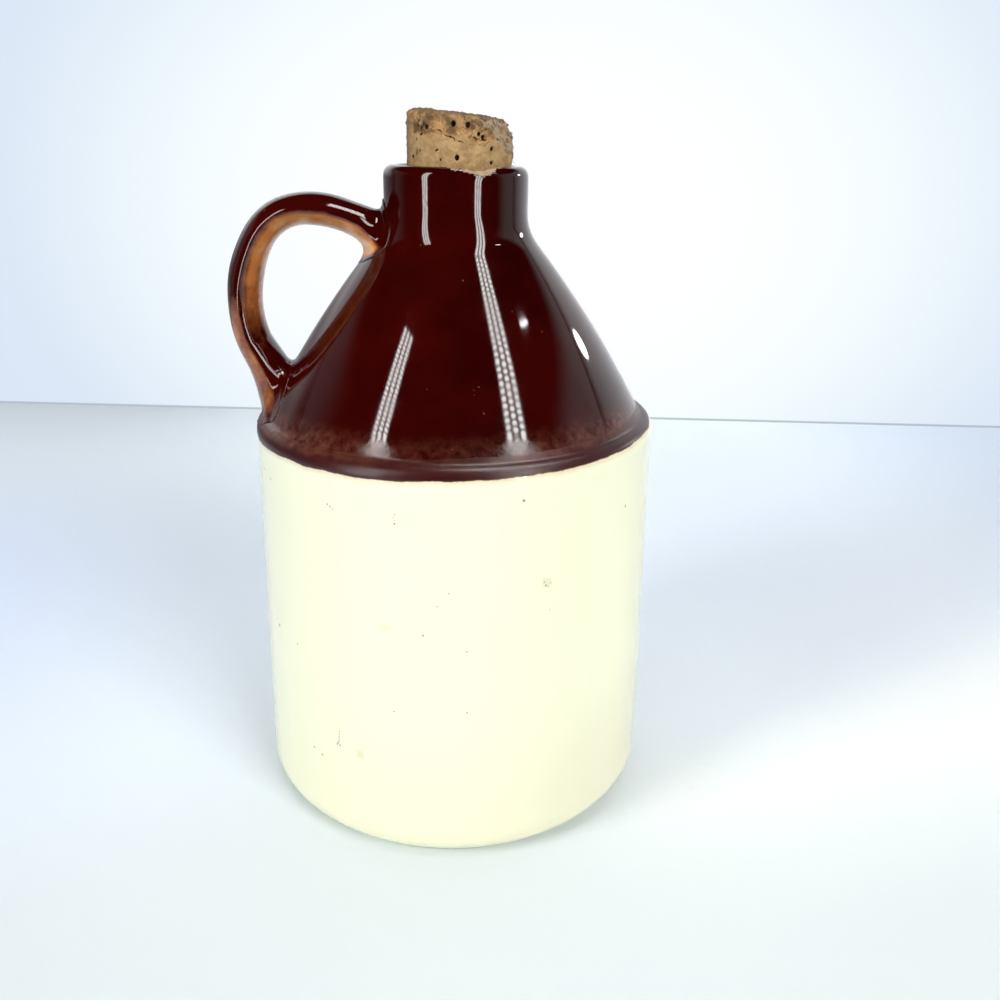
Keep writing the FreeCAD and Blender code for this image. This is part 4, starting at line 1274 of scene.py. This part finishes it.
def room():
    """World: pale walls low down at the sides and behind, dark above and towards the front."""
    world = bpy.data.worlds.new("room")
    bpy.context.scene.world = world
    n = Nodes(world)
    n.tree.nodes.clear()
    _, x, y, z = n.place(0)
    behind = n.step(y, -0.15, 0.30) * n.step(x, -0.3, 0.1, 0.38, 1.0)
    aside = n.step(y, -0.42, -0.05) * n.step(x, -0.1, 0.4)
    level = n.most(behind * 0.58, aside * 0.50) * n.step(z, 0.57, 0.44) + 0.006
    light = n.add("ShaderNodeBackground", Color=(0.95, 0.98, 1.0), Strength=level)
    seen = n.add("ShaderNodeBackground", Color=(0.80, 0.88, 0.97), Strength=1.0)
    output = n.tree.nodes.new("ShaderNodeOutputWorld")
    n.put(n.add("ShaderNodeMixShader", in_0=n.add("ShaderNodeLightPath"), in_1=light, in_2=seen),
          output.inputs[0])


def add_lamps():
    """Each strip's ends lie on a sphere: its middle plus its radius times a direction."""
    for name, (low, high, *rest) in STRIPS.items():
        strip_lamp(name, STRIPS_MIDDLE + STRIPS_AWAY * toward(*low),
                   STRIPS_MIDDLE + STRIPS_AWAY * toward(*high), *rest)
    for name, values in PORTS.items():
        disc_lamp(name, *values)
    for name, values in SOFT_LAMPS.items():
        soft_lamp(name, *values)


def add_camera(context, settings):
    """The camera's axes: forward from its two angles, then sideways and up turned by the roll."""
    down, side, roll = settings.down, settings.side, settings.roll
    forward = Vector((math.sin(side) * math.cos(down), math.cos(side) * math.cos(down),
                      -math.sin(down)))
    level = Vector((math.cos(side), -math.sin(side), 0.0))
    upright = level.cross(forward)
    right = level * math.cos(roll) + upright * math.sin(roll)
    up = upright * math.cos(roll) - level * math.sin(roll)
    data = bpy.data.cameras.new("Camera")
    data.lens = settings.lens
    data.sensor_width = 36.0
    data.clip_start = 0.005
    camera = bpy.data.objects.new("Camera", data)
    turned = Matrix((right, up, -forward)).transposed().to_4x4()
    turned.translation = settings.eye
    camera.matrix_world = turned
    context.scene.collection.objects.link(camera)
    context.scene.camera = camera
    context.scene.view_settings.view_transform = "Standard"


# ---------------------------------------------------------------- operators

class JUG_OT_jug(bpy.types.Operator):
    """Turned jug with its pulled handle, in two glazes"""

    bl_idname = "jug.add_jug"
    bl_label = "Jug and Handle"

    def execute(self, context):
        scene = context.scene
        line, points, broken = jug_rings(scene.jug_sizes, scene.jug_chip)
        body = skin(points, (0.0, 0.0, points[0, 0, 2]), (0.0, 0.0, points[-1, 0, 2]),
                    broken=broken)
        handle = handle_skin(scene.jug_handle, scene.jug_sizes, line)
        material = glazed_stoneware(scene.jug_finishes, scene.jug_sizes)
        item = piece("Jug_glazed", [body, handle], material)
        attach(item, "root")
        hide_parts("jug")
        return {"FINISHED"}


class JUG_OT_cork(bpy.types.Operator):
    """Worn, torn cork in the mouth"""

    bl_idname = "jug.add_cork"
    bl_label = "Cork"

    def execute(self, context):
        scene = context.scene
        rim = jug_line(scene.jug_sizes)[1]
        skins = [cork_skin(scene.jug_cork, rim), plug_skin(scene.jug_sizes, rim),
                 *fibre_skins(scene.jug_cork, rim)]
        material = cork_bark(scene.jug_finishes, scene.jug_cork, rim)
        item = piece("Cork_worn", skins, material, 50.0)
        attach(item, "root")
        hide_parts("cork")
        return {"FINISHED"}


class JUG_OT_stage(bpy.types.Operator):
    """Pale table and wall, lamps and camera"""

    bl_idname = "jug.add_stage"
    bl_label = "Stage"

    def execute(self, context):
        settings = context.scene.jug_stage
        left = np.array([WALL_LEFT, settings.wall_left, 0.0])
        right = np.array([WALL_RIGHT, settings.wall_right, 0.0])
        along = unit(right - left) * WALL_PAST
        left, right = left - along, right + along
        front, under = np.array([0.0, -TABLE_FRONT, 0.0]), np.array([0.0, TABLE_UNDER_WALL, 0.0])
        tall = np.array([0.0, 0.0, WALL_HEIGHT])
        flat_panel("Table", [left + front, right + front, right + under, left + under],
                   table_with_painted_light(settings))
        flat_panel("Wall", [left, right, right + tall, left + tall], wall_with_painted_light(settings))
        add_lamps()
        room()
        add_camera(context, settings)
        return {"FINISHED"}


class JUG_PT_panel(bpy.types.Panel):
    """Buttons for the jug's pieces and the sizes they use"""

    bl_idname = "JUG_PT_panel"
    bl_label = "Syrup Jug"
    bl_space_type = "VIEW_3D"
    bl_region_type = "UI"
    bl_category = "Jug"

    def draw(self, context):
        for operator in OPERATORS:
            self.layout.operator(operator.bl_idname)
        for key, group in GROUPS.items():
            box = self.layout.box()
            box.label(text=group.__name__)
            for name in group.__annotations__:
                box.prop(getattr(context.scene, key), name)


GROUPS = {"jug_sizes": JugSizes, "jug_chip": ChipSizes, "jug_handle": HandleSizes,
          "jug_cork": CorkSizes, "jug_finishes": Finishes, "jug_stage": StageSizes}
OPERATORS = (JUG_OT_jug, JUG_OT_cork, JUG_OT_stage)


def register():
    """Makes the classes known, and gives the scene one group of settings of each kind."""
    for item in (*GROUPS.values(), *OPERATORS, JUG_PT_panel):
        bpy.utils.register_class(item)
    for key, group in GROUPS.items():
        setattr(bpy.types.Scene, key, bpy.props.PointerProperty(type=group))


def unregister():
    """Takes away what register added, in the other order."""
    for key in GROUPS:
        delattr(bpy.types.Scene, key)
    for item in reversed((*GROUPS.values(), *OPERATORS, JUG_PT_panel)):
        bpy.utils.unregister_class(item)


def main():
    """Builds the pieces and the stage."""
    register()
    bpy.ops.jug.add_jug()
    bpy.ops.jug.add_cork()
    bpy.ops.jug.add_stage()


if __name__ == "__main__":
    main()
